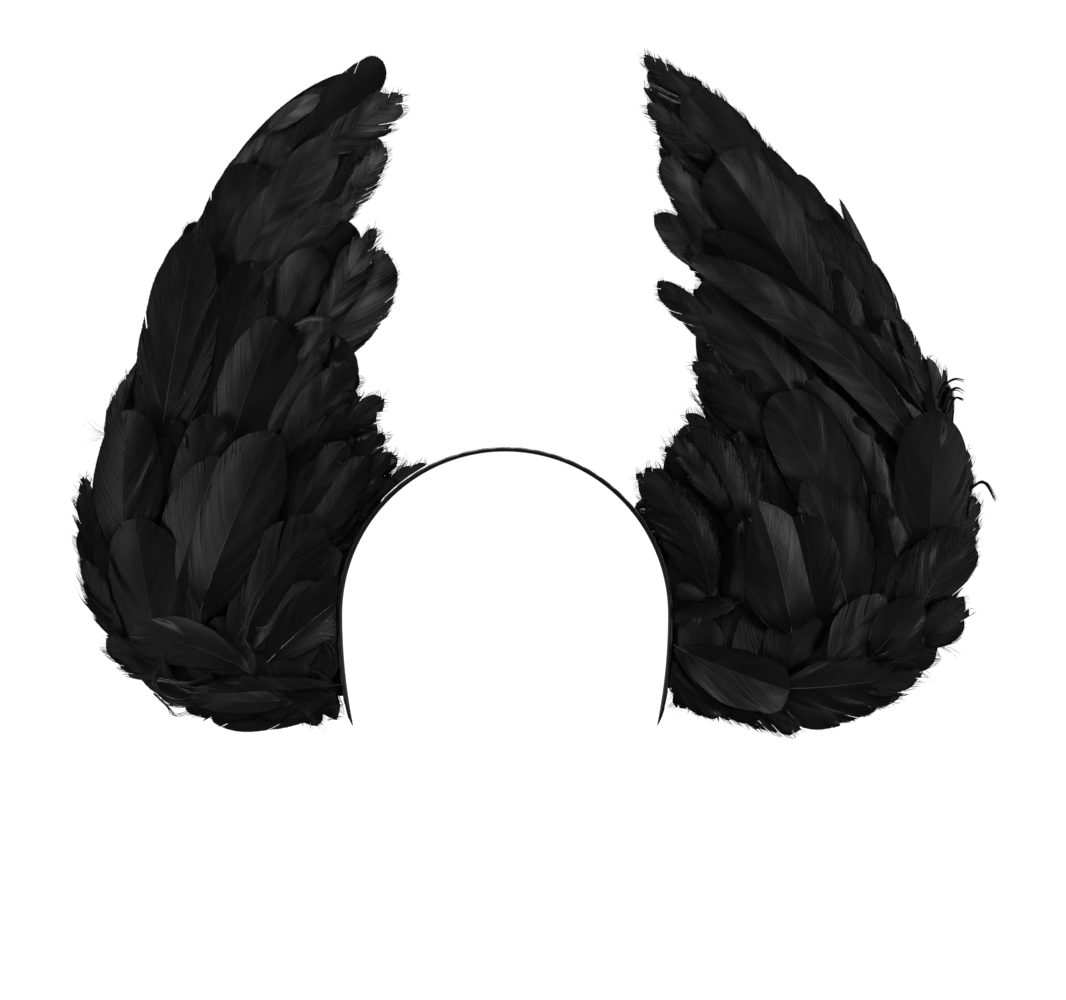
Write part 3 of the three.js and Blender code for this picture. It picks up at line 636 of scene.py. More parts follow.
class Sheaf:
    """Gathers feather parts into one mesh with its tones and maps."""

    def __init__(self):
        self.points, self.faces = [], []
        self.tone, self.shaft, self.streak, self.barbs, self.bake, self.slot = [], [], [], [], [], []
        self.count = 0

    def add(self, points, faces, tone, shaft, streak, barbs, bake, slot=0):
        size = len(points)
        self.points.append(points)
        self.faces.append(faces + self.count)
        self.tone.append(np.broadcast_to(tone, size))
        self.shaft.append(np.broadcast_to(shaft, size))
        self.streak.append(np.broadcast_to(streak, size))
        self.barbs.append(barbs)
        self.bake.append(bake)
        self.slot.append(np.full(len(faces), slot, np.int32))
        self.count += size

    def to_object(self, name, materials):
        points = np.concatenate(self.points)
        faces = np.concatenate(self.faces)
        mesh = bpy.data.meshes.new(name)
        mesh.from_pydata(points, [], faces)
        mesh.polygons.foreach_set("use_smooth", np.ones(len(faces), bool))
        mesh.polygons.foreach_set("material_index", np.concatenate(self.slot))
        for label, values in (("tone", self.tone), ("shaft", self.shaft), ("streak", self.streak)):
            mesh.attributes.new(label, "FLOAT", "POINT").data.foreach_set(
                "value", np.concatenate(values).astype(np.float32)
            )
        corners = faces.ravel()
        for label, values in (("barbs", self.barbs), ("OFBake", self.bake)):
            layer = mesh.uv_layers.new(name=label, do_init=False)
            layer.uv.foreach_set("vector", np.concatenate(values)[corners].astype(np.float32).ravel())
        for material in materials:
            mesh.materials.append(material)
        mesh.update()
        mesh.set_sharp_from_angle(angle=RIM_ANGLE)
        made = bpy.data.objects.new(name, mesh)
        bpy.context.scene.collection.objects.link(made)
        return made


def outward(points, faces):
    """The triangles of a closed mesh, turned to face out."""
    corner = points[faces] - points.mean(axis=0)
    volume = np.sum(corner[:, 0] * np.cross(corner[:, 1], corner[:, 2]))
    return faces if volume > 0 else faces[:, ::-1]


def shell(points, faces, thickness):
    """A closed thin shell round a sheet: its points, its faces and each point's source."""
    corner = points[faces]
    turn = np.cross(corner[:, 1] - corner[:, 0], corner[:, 2] - corner[:, 0])
    normal = np.zeros_like(points)
    for i in range(3):
        np.add.at(normal, faces[:, i], turn)
    normal /= np.maximum(np.linalg.norm(normal, axis=1, keepdims=True), 1e-12)
    size = len(points)
    edges = np.concatenate([faces[:, [0, 1]], faces[:, [1, 2]], faces[:, [2, 0]]])
    key = np.sort(edges, axis=1)
    _, first, count = np.unique(key[:, 0] * size + key[:, 1], return_index=True, return_counts=True)
    rim = edges[first[count == 1]]
    sides = np.concatenate(
        [
            np.stack([rim[:, 1], rim[:, 0], rim[:, 0] + size], axis=1),
            np.stack([rim[:, 1], rim[:, 0] + size, rim[:, 1] + size], axis=1),
        ]
    )
    whole = np.concatenate([faces, faces[:, ::-1] + size, sides])
    offset = normal * thickness[:, None] / 2
    both = np.concatenate([points + offset, points - offset])
    return both, outward(both, whole), np.tile(np.arange(size), 2)


def lock_numbers(count, mean, rng):
    """Numbers the barbs of a vane by the lock that each belongs to."""
    numbers = np.zeros(count, int)
    start, lock = 0, 0
    while start < count:
        size = 2 + int(rng.exponential(mean - 1))
        numbers[start : start + size] = lock
        start += size
        lock += 1
    return numbers


def outline(form, length, half, quill, step):
    """Points evenly along one side of a feather's outline, with their distance along it."""
    peak = form["peak"] * length
    t = np.linspace(0, 1, 120)
    turn = t[1:] * math.pi / 2
    power = 2.0 / form["tip_power"]
    x = np.concatenate([quill + (peak - quill) * t, peak + (length - peak) * np.sin(turn) ** power])
    y = half * np.concatenate([np.sin(t * math.pi / 2) ** 0.65, np.cos(turn) ** power])
    run = np.concatenate([[0], np.cumsum(np.hypot(np.diff(x), np.diff(y)))])
    count = int(np.clip(run[-1] / step, 12, 60))
    at = np.linspace(0.03, 1.0, count) * run[-1]
    return np.interp(at, run, x), np.interp(at, run, y), at


class Vane:
    """One side of a feather, laid flat.

    Its barbs leave the shaft at an angle and end on the feather's outline, in locks that part near the edge.
    """

    # The shares of each barb where the sheet has points.
    STOPS = np.array([0.0, 0.3, 0.6, 0.84, 1.0])
    # The hardest pull on a lock, and the pull past which a slit runs deep.
    MOST_PULL, DEEP_PULL = 2.4, 2.2
    # How much of the space between two locks is closed.
    CLOSING = 0.9
    # The last share of a barb, which gives its heading at the edge.
    END_SHARE = 0.06

    def __init__(self, form, length, half, square_mm, rng):
        self.form, self.half, self.square_mm, self.rng = form, half, square_mm, rng
        quill = rng.uniform(0.04, 0.08) * length
        own = dict(form)
        for key in ("peak", "tip_power"):
            own[key] *= rng.uniform(0.85, 1.15)
        end_x, end_y, self.run = outline(own, length, half, quill, form["step"] / square_mm)
        self.count = len(end_x)
        lean = math.tan(math.radians(form["angle"] * rng.uniform(0.92, 1.08)))
        soften = 0.04 * length
        bare = 0.7 * quill
        root_x = bare + soften * np.logaddexp(0, (end_x - end_y / lean - bare) / soften)
        root_x = np.minimum(root_x, end_x - 0.002 * length)
        self.root_x = np.maximum.accumulate(root_x + np.arange(self.count) * 1e-4 * length)

        self.lock = lock = lock_numbers(self.count, form["lock"], rng)
        self.locks = lock[-1] + 1
        border = np.flatnonzero(lock[1:] != lock[:-1])
        for values in (end_x, end_y, self.root_x, self.run):
            between = (values[border] + values[border + 1]) / 2
            for barb in (border, border + 1):
                values[barb] += self.CLOSING * (between - values[barb])
        size = np.bincount(lock)
        middle_x = (np.bincount(lock, end_x) / size)[lock]
        middle_y = (np.bincount(lock, end_y) / size)[lock]
        sway = rng.normal(0, 0.2 * form["draw"] * half, self.locks)[lock] * np.minimum(1, end_y / half)
        pull = np.minimum(rng.exponential(1.0, self.locks) ** 2, self.MOST_PULL)[lock]
        draw = form["draw"] * pull
        whole = self.STOPS[np.searchsorted(self.STOPS, form["part"]).clip(1, 3)]
        self.closed = np.where(pull > self.DEEP_PULL, np.minimum(self.STOPS[2], whole), whole)
        self.shift_x = draw * (middle_x - end_x) + sway
        self.shift_y = 0.6 * draw * (middle_y - end_y)
        self.end_x = end_x
        waves = rng.uniform(0, FULL_TURN) + rng.uniform(6, 14) * self.run / self.run[-1]
        self.end_y = end_y * (1 + 0.03 * np.sin(waves))
        first = np.searchsorted(lock, lock)
        place = (np.arange(self.count) - first + 0.5) / size[lock] * 2 - 1
        barb_mm = np.hypot(end_x - self.root_x, end_y) * square_mm
        fray = form["fray"] * np.minimum(1, 14 / barb_mm)
        self.reach = (1 - 2 * fray * rng.random(self.locks)[lock]) * (1 - 2.2 * fray * place**2)
        waver = rng.normal(0, 1, self.locks)[lock] + rng.normal(0, 0.15, self.count)
        self.wave = form["ripple"] * MM * waver

    def spot(self, barb, u):
        """Places along and across the feather at the share u of each barb."""
        parts = (self.root_x, self.end_x, self.end_y, self.shift_x, self.shift_y, self.closed)
        root_x, end_x, end_y, shift_x, shift_y, closed = (self.between(values, barb) for values in parts)
        bend_x = root_x + 0.38 * (end_x - root_x)
        parted = np.clip((u - closed) / (1 - closed), 0, 1.2)
        along = (1 - u) ** 2 * root_x + 2 * u * (1 - u) * bend_x + u**2 * end_x + parted * shift_x
        across = 1.2 * u * (1 - u) * end_y + u**2 * end_y + parted * shift_y
        return along, across

    def between(self, values, barb):
        """Values at places between barbs, without bridging two locks."""
        near = np.rint(barb).astype(int)
        other = np.clip(near + np.where(barb > near, 1, -1), 0, self.count - 1)
        share = np.abs(barb - near) * (self.lock[near] == self.lock[other])
        return values[near] * (1 - share) + values[other] * share

    def web(self):
        """The sheet of joined barbs: places along and across, share along the barb, barb, and faces."""
        wide = len(self.STOPS)
        barb = np.repeat(np.arange(self.count), wide)
        u = (self.STOPS[None, :] * self.reach[:, None]).ravel()
        along, across = self.spot(barb, u)
        at = np.arange(self.count * wide).reshape(self.count, wide)
        same = self.lock[1:] == self.lock[:-1]
        closed = np.minimum(self.closed[1:], self.closed[:-1])
        faces = []
        for k in range(wide - 1):
            keep = same | (self.STOPS[k + 1] <= closed)
            a, b, c, d = at[:-1, k][keep], at[1:, k][keep], at[1:, k + 1][keep], at[:-1, k + 1][keep]
            faces += [np.stack([a, b, c], 1), np.stack([a, c, d], 1)]
        faces = np.concatenate(faces)
        used, faces = np.unique(faces, return_inverse=True)
        return along[used], across[used], u[used], barb[used], faces.reshape(-1, 3)

    def fringe(self, radius):
        """Fine barb ends that stand past the sheet, as bent needles: as web gives them, with their rise."""
        form, rng = self.form, self.rng
        count = max(4, int((self.run[-1] - self.run[0]) * self.square_mm / form["gap"]))
        barb = np.sort(rng.uniform(0, self.count - 1, count))
        near = np.rint(barb).astype(int)
        lock = self.lock[near]
        reach = self.between(self.reach, barb)
        start = reach * rng.uniform(0.74, 0.92, count)
        foot, edge, before = (np.stack(self.spot(barb, u)) for u in (start, reach, reach - self.END_SHARE))
        heading = edge - before
        heading /= np.maximum(np.hypot(*heading), 1e-9)
        aside = np.stack([-heading[1], heading[0]])
        mess = form["mess"]
        length = form["reach"] / self.square_mm * np.minimum(1, self.run[near] / (0.2 * self.run[-1]))
        length = length * rng.uniform(0.4, 1.6, self.locks)[lock]
        length = length * np.exp(np.minimum(mess * rng.normal(0, 0.5, count), 0.6))
        drift = rng.normal(0, 0.25, self.locks)[lock] + rng.normal(0, 0.22, count)
        drift = mess * drift * length
        middle = edge + 0.4 * length * heading + 0.25 * drift * aside
        tip = edge + length * heading + drift * aside
        gather = max(0.0, mess - 0.3)
        centre = np.searchsorted(self.lock, np.arange(self.locks)) + (np.bincount(self.lock) - 1) // 2
        backs = (0.0, self.END_SHARE)
        end, short = (np.stack(self.spot(centre, self.reach[centre] - back)) for back in backs)
        last = end - short
        tuft = end + last / np.maximum(np.hypot(*last), 1e-9) * 1.4 * form["reach"] / self.square_mm
        pulled = gather * (tuft[:, lock] - tip)
        middle, tip = middle + 0.3 * pulled, tip + pulled
        angle = np.radians([90, 210, 330])
        places, rises = [], []
        for core, share in ((foot, 1.0), (middle, 0.7)):
            for turn in angle:
                places.append(core + share * radius / self.square_mm / MM * math.cos(turn) * aside)
                rises.append(np.full(count, share * radius * math.sin(turn)))
        lift = rng.normal(0, 0.25 * mess * MM, count)
        rises[3:] = [rise + 0.4 * lift for rise in rises[3:]]
        places.append(tip)
        rises.append(lift)
        places = np.stack(places, axis=2)
        points = places.shape[2]
        faces = (NEEDLE[None] + points * np.arange(count)[:, None, None]).reshape(-1, 3)
        return (
            places[0].ravel(), places[1].ravel(), np.repeat(reach, points), np.repeat(near, points), faces,
            np.stack(rises, axis=1).ravel(),
        )


def tube_faces(stops, sides):
    """Triangles of a closed tube through a row of rings."""
    ring = np.arange(stops * sides).reshape(stops, sides)
    a, b = ring[:-1], np.roll(ring, -1, axis=1)[:-1]
    c, d = ring[1:], np.roll(ring, -1, axis=1)[1:]
    sides_a = np.stack([x.ravel() for x in (a, b, d)], 1)
    sides_b = np.stack([x.ravel() for x in (a, d, c)], 1)
    fan = np.stack([np.zeros(sides - 2, int), np.arange(1, sides - 1), np.arange(2, sides)], 1)
    return np.concatenate([sides_a, sides_b, fan[:, ::-1], fan + ring[-1, 0]])


class Feather:
    """Where one feather lies on its wing and how its vane bends."""

    def __init__(self, side, face, line, foot, tip, width, bow, level, form, tone, shaft, seed, settle=1.0):
        self.side, self.face, self.line, self.settle = side, face, line, settle
        self.foot, self.tip = np.array(foot, float), np.array(tip, float)
        self.width, self.level, self.shaft_tone = width, level, shaft
        self.tones = tone if isinstance(tone, tuple) else (tone, tone)
        self.form = dict(zip(FORM_COLUMNS, FORMS[form]))
        self.rng = np.random.default_rng(seed)
        self.offset = self.rng.uniform(0, NOISE_RANGE)
        chord = self.tip - self.foot
        self.length = float(np.hypot(*chord))
        self.bend = (self.foot + self.tip) / 2 + 2 * bow * np.array([chord[1], -chord[0]])
        self.skew = self.rng.uniform(-0.15, 0.15)
        self.roll = math.tan(math.radians(self.rng.uniform(-14, 14))) * min(1, 22 / width)
        self.twist = math.tan(math.radians(self.rng.uniform(-8, 8)))
        self.curl = self.rng.uniform(-0.03, 0.04)
        self.phase = self.rng.uniform(0, FULL_TURN)
        self.arch = self.rng.choice([1.5, 1.2, 0.9, 0.5, -0.5])

    def place(self, sizes, feather, band, along, across, rise):
        """Points of the feather from places along and across it, raised off its vane."""
        s = along / self.length
        t = np.clip(s, 0, 1)
        over = (s - t)[:, None]
        rest, gone = (1 - t)[:, None], t[:, None]
        p = rest**2 * self.foot + 2 * gone * rest * self.bend + gone**2 * self.tip
        d = 2 * rest * (self.bend - self.foot) + 2 * gone * (self.tip - self.bend)
        p = p + over * d
        d /= np.linalg.norm(d, axis=1, keepdims=True)
        out = p[:, 0] + d[:, 1] * across
        up = p[:, 1] - d[:, 0] * across
        half = self.width / 2
        lift = row_lift(sizes, self.line, out, up, self.settle)
        lift = lift + self.level * sizes.level_step * smooth_step(4 * t)
        roof, camber = self.arch * feather.roof, self.arch * feather.camber
        lift = lift + sizes.square * (
            0.5 * (roof + camber) * half * smooth_step(3 * t)
            - roof * np.abs(across)
            - camber * across**2 / half
            + (self.roll + self.twist * t) * across
            + self.curl * self.length * t**2.5
            + 0.02 * half * np.sin(self.phase + 7 * t + 2.2 * across / half)
        )
        lift = np.maximum(lift, 0.3 * MM) + rise
        return clear_of_band(band, wing_points(sizes, self.side, self.face, out, up, lift))

    def grow(self, sheaf, cell, sizes, feather, band):
        """Adds the feather's two vanes and its shaft to the sheaf."""
        half, square_mm = self.width / 2, sizes.square / MM
        for hand, base_tone in zip((-1, 1), self.tones):
            vane = Vane(self.form, self.length, half * (1 + hand * self.skew), square_mm, self.rng)
            shade = base_tone * self.rng.uniform(0.8, 1.2) * self.rng.uniform(0.8, 1.2, vane.locks)[vane.lock]
            shade = np.clip(shade * self.rng.uniform(0.9, 1.1, vane.count) / PALEST_TONE, 0, 1)

            def dress(along, across, u, barb):
                run_cm = vane.run[barb] * square_mm / 10
                barbs = np.stack([run_cm + self.offset, hand * u * half * square_mm / 10], axis=1)
                bake = cell(0.5 + 0.46 * hand * np.clip(across / (half * 1.4), 0, 1), along / self.length)
                # Darker towards the foot: partly the down at the base, partly painted shade under the
                # overlapping feathers.
                downy_and_shade = FOOT_TONE + (1 - FOOT_TONE) * smooth_step((along / self.length - 0.05) / 0.45)
                return shade[barb] * downy_and_shade, barbs, bake

            along, across, u, barb, faces = vane.web()
            points = self.place(sizes, feather, band, along, hand * across, vane.wave[barb] * u**2)
            points, faces, source = shell(points, faces, feather.vane_thickness * (1 - 0.7 * u))
            tone, barbs, bake = dress(along, across, u, barb)
            sheaf.add(points, faces, tone[source], 0.0, self.form["streak"], barbs[source], bake[source])

            along, across, u, barb, faces, rise = vane.fringe(feather.barb_radius)
            points = self.place(sizes, feather, band, along, hand * across, rise + vane.wave[barb] * u**2)
            tone, barbs, bake = dress(along, across, u, barb)
            sheaf.add(points, outward(points, faces), tone, 0.0, self.form["streak"], barbs, bake)
        self.add_shaft(sheaf, cell, sizes, feather, band)

    def add_shaft(self, sheaf, cell, sizes, feather, band):
        stops, sides = 9, 5
        s = np.linspace(0.0, 0.97, stops)
        radius = feather.shaft_radius * (0.16 + 0.84 * (1 - s) ** 0.8) * min(1.3, 0.7 + self.width / 60)
        angle = np.linspace(0, 2 * math.pi, sides, endpoint=False)
        along = np.repeat(s * self.length, sides)
        across = (radius[:, None] * np.cos(angle)).ravel() / sizes.square
        rise = (radius[:, None] * (0.4 + np.sin(angle))).ravel()
        points = self.place(sizes, feather, band, along, across, rise)
        tone = (0.04 + self.shaft_tone**2.5) * (0.35 + 0.65 * np.repeat((1 - s) ** 1.5, sides))
        barbs = np.stack([along / self.length + self.offset, np.zeros(len(along))], axis=1)
        bake = cell(0.97 + 0.02 * np.cos(np.tile(angle, stops)), along / self.length)
        sheaf.add(points, outward(points, tube_faces(stops, sides)), tone, 1.0, 0.3, barbs, bake)


def flowing(places, count):
    """Points of a smooth line through the places."""
    ends = np.array([2 * places[0] - places[1], *places, 2 * places[-1] - places[-2]])
    t = np.linspace(0, len(places) - 1.0001, count)
    i = t.astype(int)
    f = (t - i)[:, None]
    a, b, c, d = (ends[i + k] for k in range(4))
    return 0.5 * (2 * b + (c - a) * f + (2 * a - 5 * b + 4 * c - d) * f**2 + (3 * b - a - 3 * c + d) * f**3)


def add_barb(sheaf, cell, sizes, band, side, places, lift, radius, tone, rng):
    """A loose barb as a thin tapering tube through the places."""
    stops, sides = 14, 3
    line = flowing(places, stops)
    heading = np.gradient(line, axis=0)
    heading /= np.maximum(np.linalg.norm(heading, axis=1, keepdims=True), 1e-9)
    s = np.linspace(0, 1, stops)
    width = radius * (1.02 - s) ** 0.6
    angle = np.linspace(0, 2 * math.pi, sides, endpoint=False)
    across = (width[:, None] * np.cos(angle)).ravel() / sizes.square
    out = np.repeat(line[:, 0], sides) + np.repeat(heading[:, 1], sides) * across
    up = np.repeat(line[:, 1], sides) - np.repeat(heading[:, 0], sides) * across
    height = lift + sizes.row_slope * sizes.square * (line[:, 1] - line[0, 1])
    height = np.maximum(height + 0.6 * MM * np.sin(rng.uniform(0, FULL_TURN) + 4 * s), 0.5 * MM)
    rise = (height[:, None] + width[:, None] * np.sin(angle)).ravel()
    points = clear_of_band(band, wing_points(sizes, side, -1, out, up, rise))
    along = np.repeat(s, sides)
    barbs = np.stack([along * 0.2 + rng.uniform(0, NOISE_RANGE), along], axis=1)
    bake = cell(0.5 + 0.4 * np.cos(np.tile(angle, stops)), along)
    sheaf.add(points, outward(points, tube_faces(stops, sides)), tone / PALEST_TONE, 0.0, 0.3, barbs, bake)


def add_tape(sheaf, sizes, side, face, line, feet, band):
    """The ribbon tape over a row's feet, standing on the panel."""
    feet = sorted(feet)
    stops = [list(feet[0]) + [feet[0][1]]]
    for out, up in feet[1:]:
        if out - stops[-1][0] < TAPE_JOIN:
            stops[-1][1] = min(stops[-1][1], up)
            stops[-1][2] = max(stops[-1][2], up)
        else:
            stops.append([out, up, up])
    first = [stops[0][0] - TAPE_END, *stops[0][1:]]
    last = [feet[-1][0] + TAPE_END, *stops[-1][1:]]
    stops = np.array([first, *stops, last])
    fine = np.linspace(stops[0, 0], stops[-1, 0], TAPE_STOPS)
    low = np.interp(fine, stops[:, 0], stops[:, 1]) - TAPE_BELOW
    high = np.interp(fine, stops[:, 0], stops[:, 2]) + TAPE_ABOVE
    ring = []
    for share, top in TAPE_CORNERS:
        up = low + (high - low) * share
        lift = sizes.row_gap + top * (row_lift(sizes, line, fine, up) - sizes.row_gap + TAPE_RISE)
        ring.append(wing_points(sizes, side, face, fine, up, lift))
    sides = len(ring)
    points = clear_of_band(band, np.stack(ring, axis=1).reshape(-1, 3))
    faces = outward(points, tube_faces(TAPE_STOPS, sides))
    along = np.repeat(np.linspace(0, TAPE_MAP_LENGTH, TAPE_STOPS), sides)
    around = np.tile(np.arange(sides) / sides, TAPE_STOPS)
    bake = np.stack([0.002 + 0.996 * along / TAPE_MAP_LENGTH, 0.985 + 0.012 * around], 1)
    sheaf.add(points, faces, 0.2, 0.0, 0.5, np.stack([along, around], 1), bake, slot=1)


def cell_of(index, total):
    """A function from a feather's own unit square to its cell of the bake map."""
    columns = math.ceil(math.sqrt(total * 0.6))
    rows = math.ceil(total / columns)
    column, row = index % columns, index // columns

    def to_map(across, along):
        along = np.clip(along, -0.02, 1.05)
        return np.stack([(column + across) / columns, MAP_TOP * (row + 0.04 + 0.9 * along) / rows], axis=-1)

    return to_map


def feather_row(context, side, face, row, line, specs, finishes, taped):
    """Builds one row of feathers as a piece that stands for its solid."""
    sizes, feather, band = context.scene.wing_sizes, context.scene.feather_sizes, context.scene.band_sizes
    sheaf = Sheaf()
    for index, spec in enumerate(specs):
        grown = Feather(side, face, spec.pop("line", line), **spec)
        grown.grow(sheaf, cell_of(index, len(specs)), sizes, feather, band)
    if taped:
        add_tape(sheaf, sizes, side, face, line, [tuple(spec["foot"]) for spec in specs], band)
    piece = sheaf.to_object(f"{side}_{row}_plumage", finishes)
    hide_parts(f"{side}_{row}_feathers")
    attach(piece, "root")


def socket(shader, name, value):
    shader.inputs[name].default_value = value


def new_material(name):
    material = bpy.data.materials.new(name)
    material.use_nodes = True
    return material, material.node_tree, material.node_tree.nodes["Principled BSDF"]


def linked(tree, kind, inputs, **settings):
    """A node with its inputs given as values or as sockets to link from."""
    node = tree.nodes.new(kind)
    for key, value in settings.items():
        setattr(node, key, value)
    for key, value in inputs.items():
        if isinstance(value, bpy.types.NodeSocket):
            tree.links.new(value, node.inputs[key])
        else:
            node.inputs[key].default_value = value
    return node


def math_node(tree, operation, a, b=0.0, clamp=False):
    return linked(tree, "ShaderNodeMath", {0: a, 1: b}, operation=operation, use_clamp=clamp).outputs[0]


def map_range(tree, value, start, end, low, high):
    """A value carried over from one range to another."""
    inputs = {"Value": value, "From Min": start, "From Max": end, "To Min": low, "To Max": high}
    return linked(tree, "ShaderNodeMapRange", inputs).outputs[0]


def noise(tree, place, scale, detail, **more):
    inputs = {"Vector": place, "Scale": scale, "Detail": detail, **more}
    return linked(tree, "ShaderNodeTexNoise", inputs).outputs[0]


def stretched_noise(tree, barbs, across, along, detail):
    """Noise drawn out along the barbs: across and along are its counts per centimetre."""
    mapping = linked(tree, "ShaderNodeMapping", {"Vector": barbs, "Scale": (across, along, 1.0)})
    return noise(tree, mapping.outputs[0], 1.0, detail, Roughness=0.6)


def colour_mix(tree, share, low, high):
    """A mix of two plain colours."""
    inputs = {"Factor": share, 6: (*low, 1), 7: (*high, 1)}
    return linked(tree, "ShaderNodeMix", inputs, data_type="RGBA").outputs[2]


def shaded(tree, share, colour, darkest, palest):
    """A plain colour, from a darker to a paler share of itself."""
    return colour_mix(tree, share, [darkest * c for c in colour], [palest * c for c in colour])


def add_bump(tree, shader, height, strength, distance):
    bump = linked(tree, "ShaderNodeBump", {"Height": height, "Strength": strength, "Distance": distance})
    tree.links.new(bump.outputs[0], shader.inputs["Normal"])


def feather_material(finishes, name):
    """Dyed feather: streaks along the barbs, painted sheen in rare pale patches, a satin gloss and paler
    shafts.
    """
    material, tree, shader = new_material(name)
    barbs = linked(tree, "ShaderNodeUVMap", {}, uv_map="barbs").outputs[0]
    tone, shaft, strength = (
        linked(tree, "ShaderNodeAttribute", {}, attribute_name=label).outputs["Fac"]
        for label in ("tone", "shaft", "streak")
    )
    fine = stretched_noise(tree, barbs, 12.0, 0.4, 4.0)
    broad = stretched_noise(tree, barbs, 1.5, 0.25, 2.0)
    cloud = stretched_noise(tree, barbs, 0.55, 0.55, 2.0)
    fine_share = math_node(tree, "MULTIPLY", fine, 0.6)
    streak = math_node(tree, "ADD", fine_share, math_node(tree, "MULTIPLY", broad, 0.4))
    uneven = map_range(tree, streak, 0.36, 0.64, -0.8, 0.8)
    # Painted sheen: cloud noise raised to the third power keeps most of the vane darker and lifts rare
    # patches to more than twice its tone, standing in for patchy highlights.
    patch = map_range(tree, cloud, 0.3, 0.7, 0.0, 1.0)
    painted_sheen = math_node(tree, "MULTIPLY_ADD", math_node(tree, "POWER", patch, 3.0), 2.2)
    painted_sheen.node.inputs[2].default_value = 0.35
    spread = math_node(tree, "ADD", math_node(tree, "MULTIPLY", uneven, strength), painted_sheen)
    shade = math_node(tree, "MULTIPLY", tone, spread, clamp=True)
    vane_colour = colour_mix(tree, shade, finishes.feather_dark, finishes.feather_pale_and_glint)
    shaft_colour = colour_mix(tree, tone, finishes.feather_dark, finishes.shaft_pale)
    colours = {"Factor": shaft, 6: vane_colour, 7: shaft_colour}
    colour = linked(tree, "ShaderNodeMix", colours, data_type="RGBA").outputs[2]
    tree.links.new(colour, shader.inputs["Base Color"])
    rough = map_range(tree, streak, 0.34, 0.66, 0.50, 0.27)
    tree.links.new(rough, shader.inputs["Roughness"])
    add_bump(tree, shader, math_node(tree, "MULTIPLY", streak, strength), 0.9, 0.0006)
    socket(shader, "Specular IOR Level", 0.32)
    socket(shader, "Sheen Weight", 0.01)
    socket(shader, "Sheen Roughness", 0.4)
    socket(shader, "Sheen Tint", (0.5, 0.5, 0.52, 1))
    return material


def ribbon_material(finishes, name):
    """Woven satin ribbon: a fine weave, uneven dye and a soft gloss."""
    material, tree, shader = new_material(name)
    place = linked(tree, "ShaderNodeTexCoord", {}).outputs["Object"]
    weave = noise(tree, place, 900.0, 2.0)
    cloud = noise(tree, place, 60.0, 3.0)
    tree.links.new(shaded(tree, cloud, finishes.ribbon, 0.5, 1.8), shader.inputs["Base Color"])
    tree.links.new(map_range(tree, weave, 0.0, 1.0, 0.32, 0.52), shader.inputs["Roughness"])
    add_bump(tree, shader, weave, 0.35, 0.0002)
    socket(shader, "Specular IOR Level", 0.4)
    socket(shader, "Sheen Weight", 0.15)
    return material


def felt_material(finishes, name):
    """Matt felt: short matted fibres."""
    material, tree, shader = new_material(name)
    place = linked(tree, "ShaderNodeTexCoord", {}).outputs["Object"]
    fibre = noise(tree, place, 700.0, 5.0, Distortion=1.2)
    tree.links.new(shaded(tree, fibre, finishes.felt, 0.5, 1.7), shader.inputs["Base Color"])
    add_bump(tree, shader, fibre, 0.6, 0.0004)
    socket(shader, "Roughness", 0.95)
    socket(shader, "Specular IOR Level", 0.15)
    socket(shader, "Sheen Weight", 0.1)
    return material


def shared_material(key, make, context):
    """The named material, made once."""
    found = bpy.data.materials.get(key)
    return found if found else make(context.scene.headpiece_finishes, key)


def mesh_object(name, points, faces, material):
    mesh = bpy.data.meshes.new(name)
    mesh.from_pydata(points, [], faces)
    mesh.polygons.foreach_set("use_smooth", np.ones(len(mesh.polygons), bool))
    mesh.materials.append(material)
    mesh.update()
    made = bpy.data.objects.new(name, mesh)
    bpy.context.scene.collection.objects.link(made)
    return made


def ring_faces(count, sides):
    """Quads round a row of rings, with an end face at each end."""
    at = np.arange(count * sides).reshape(count, sides)
    next_side = np.roll(at, -1, axis=1)
    quads = np.stack([x.ravel() for x in (at[:-1], next_side[:-1], next_side[1:], at[1:])], 1)
    return [*quads.tolist(), at[0, ::-1].tolist(), at[-1].tolist()]


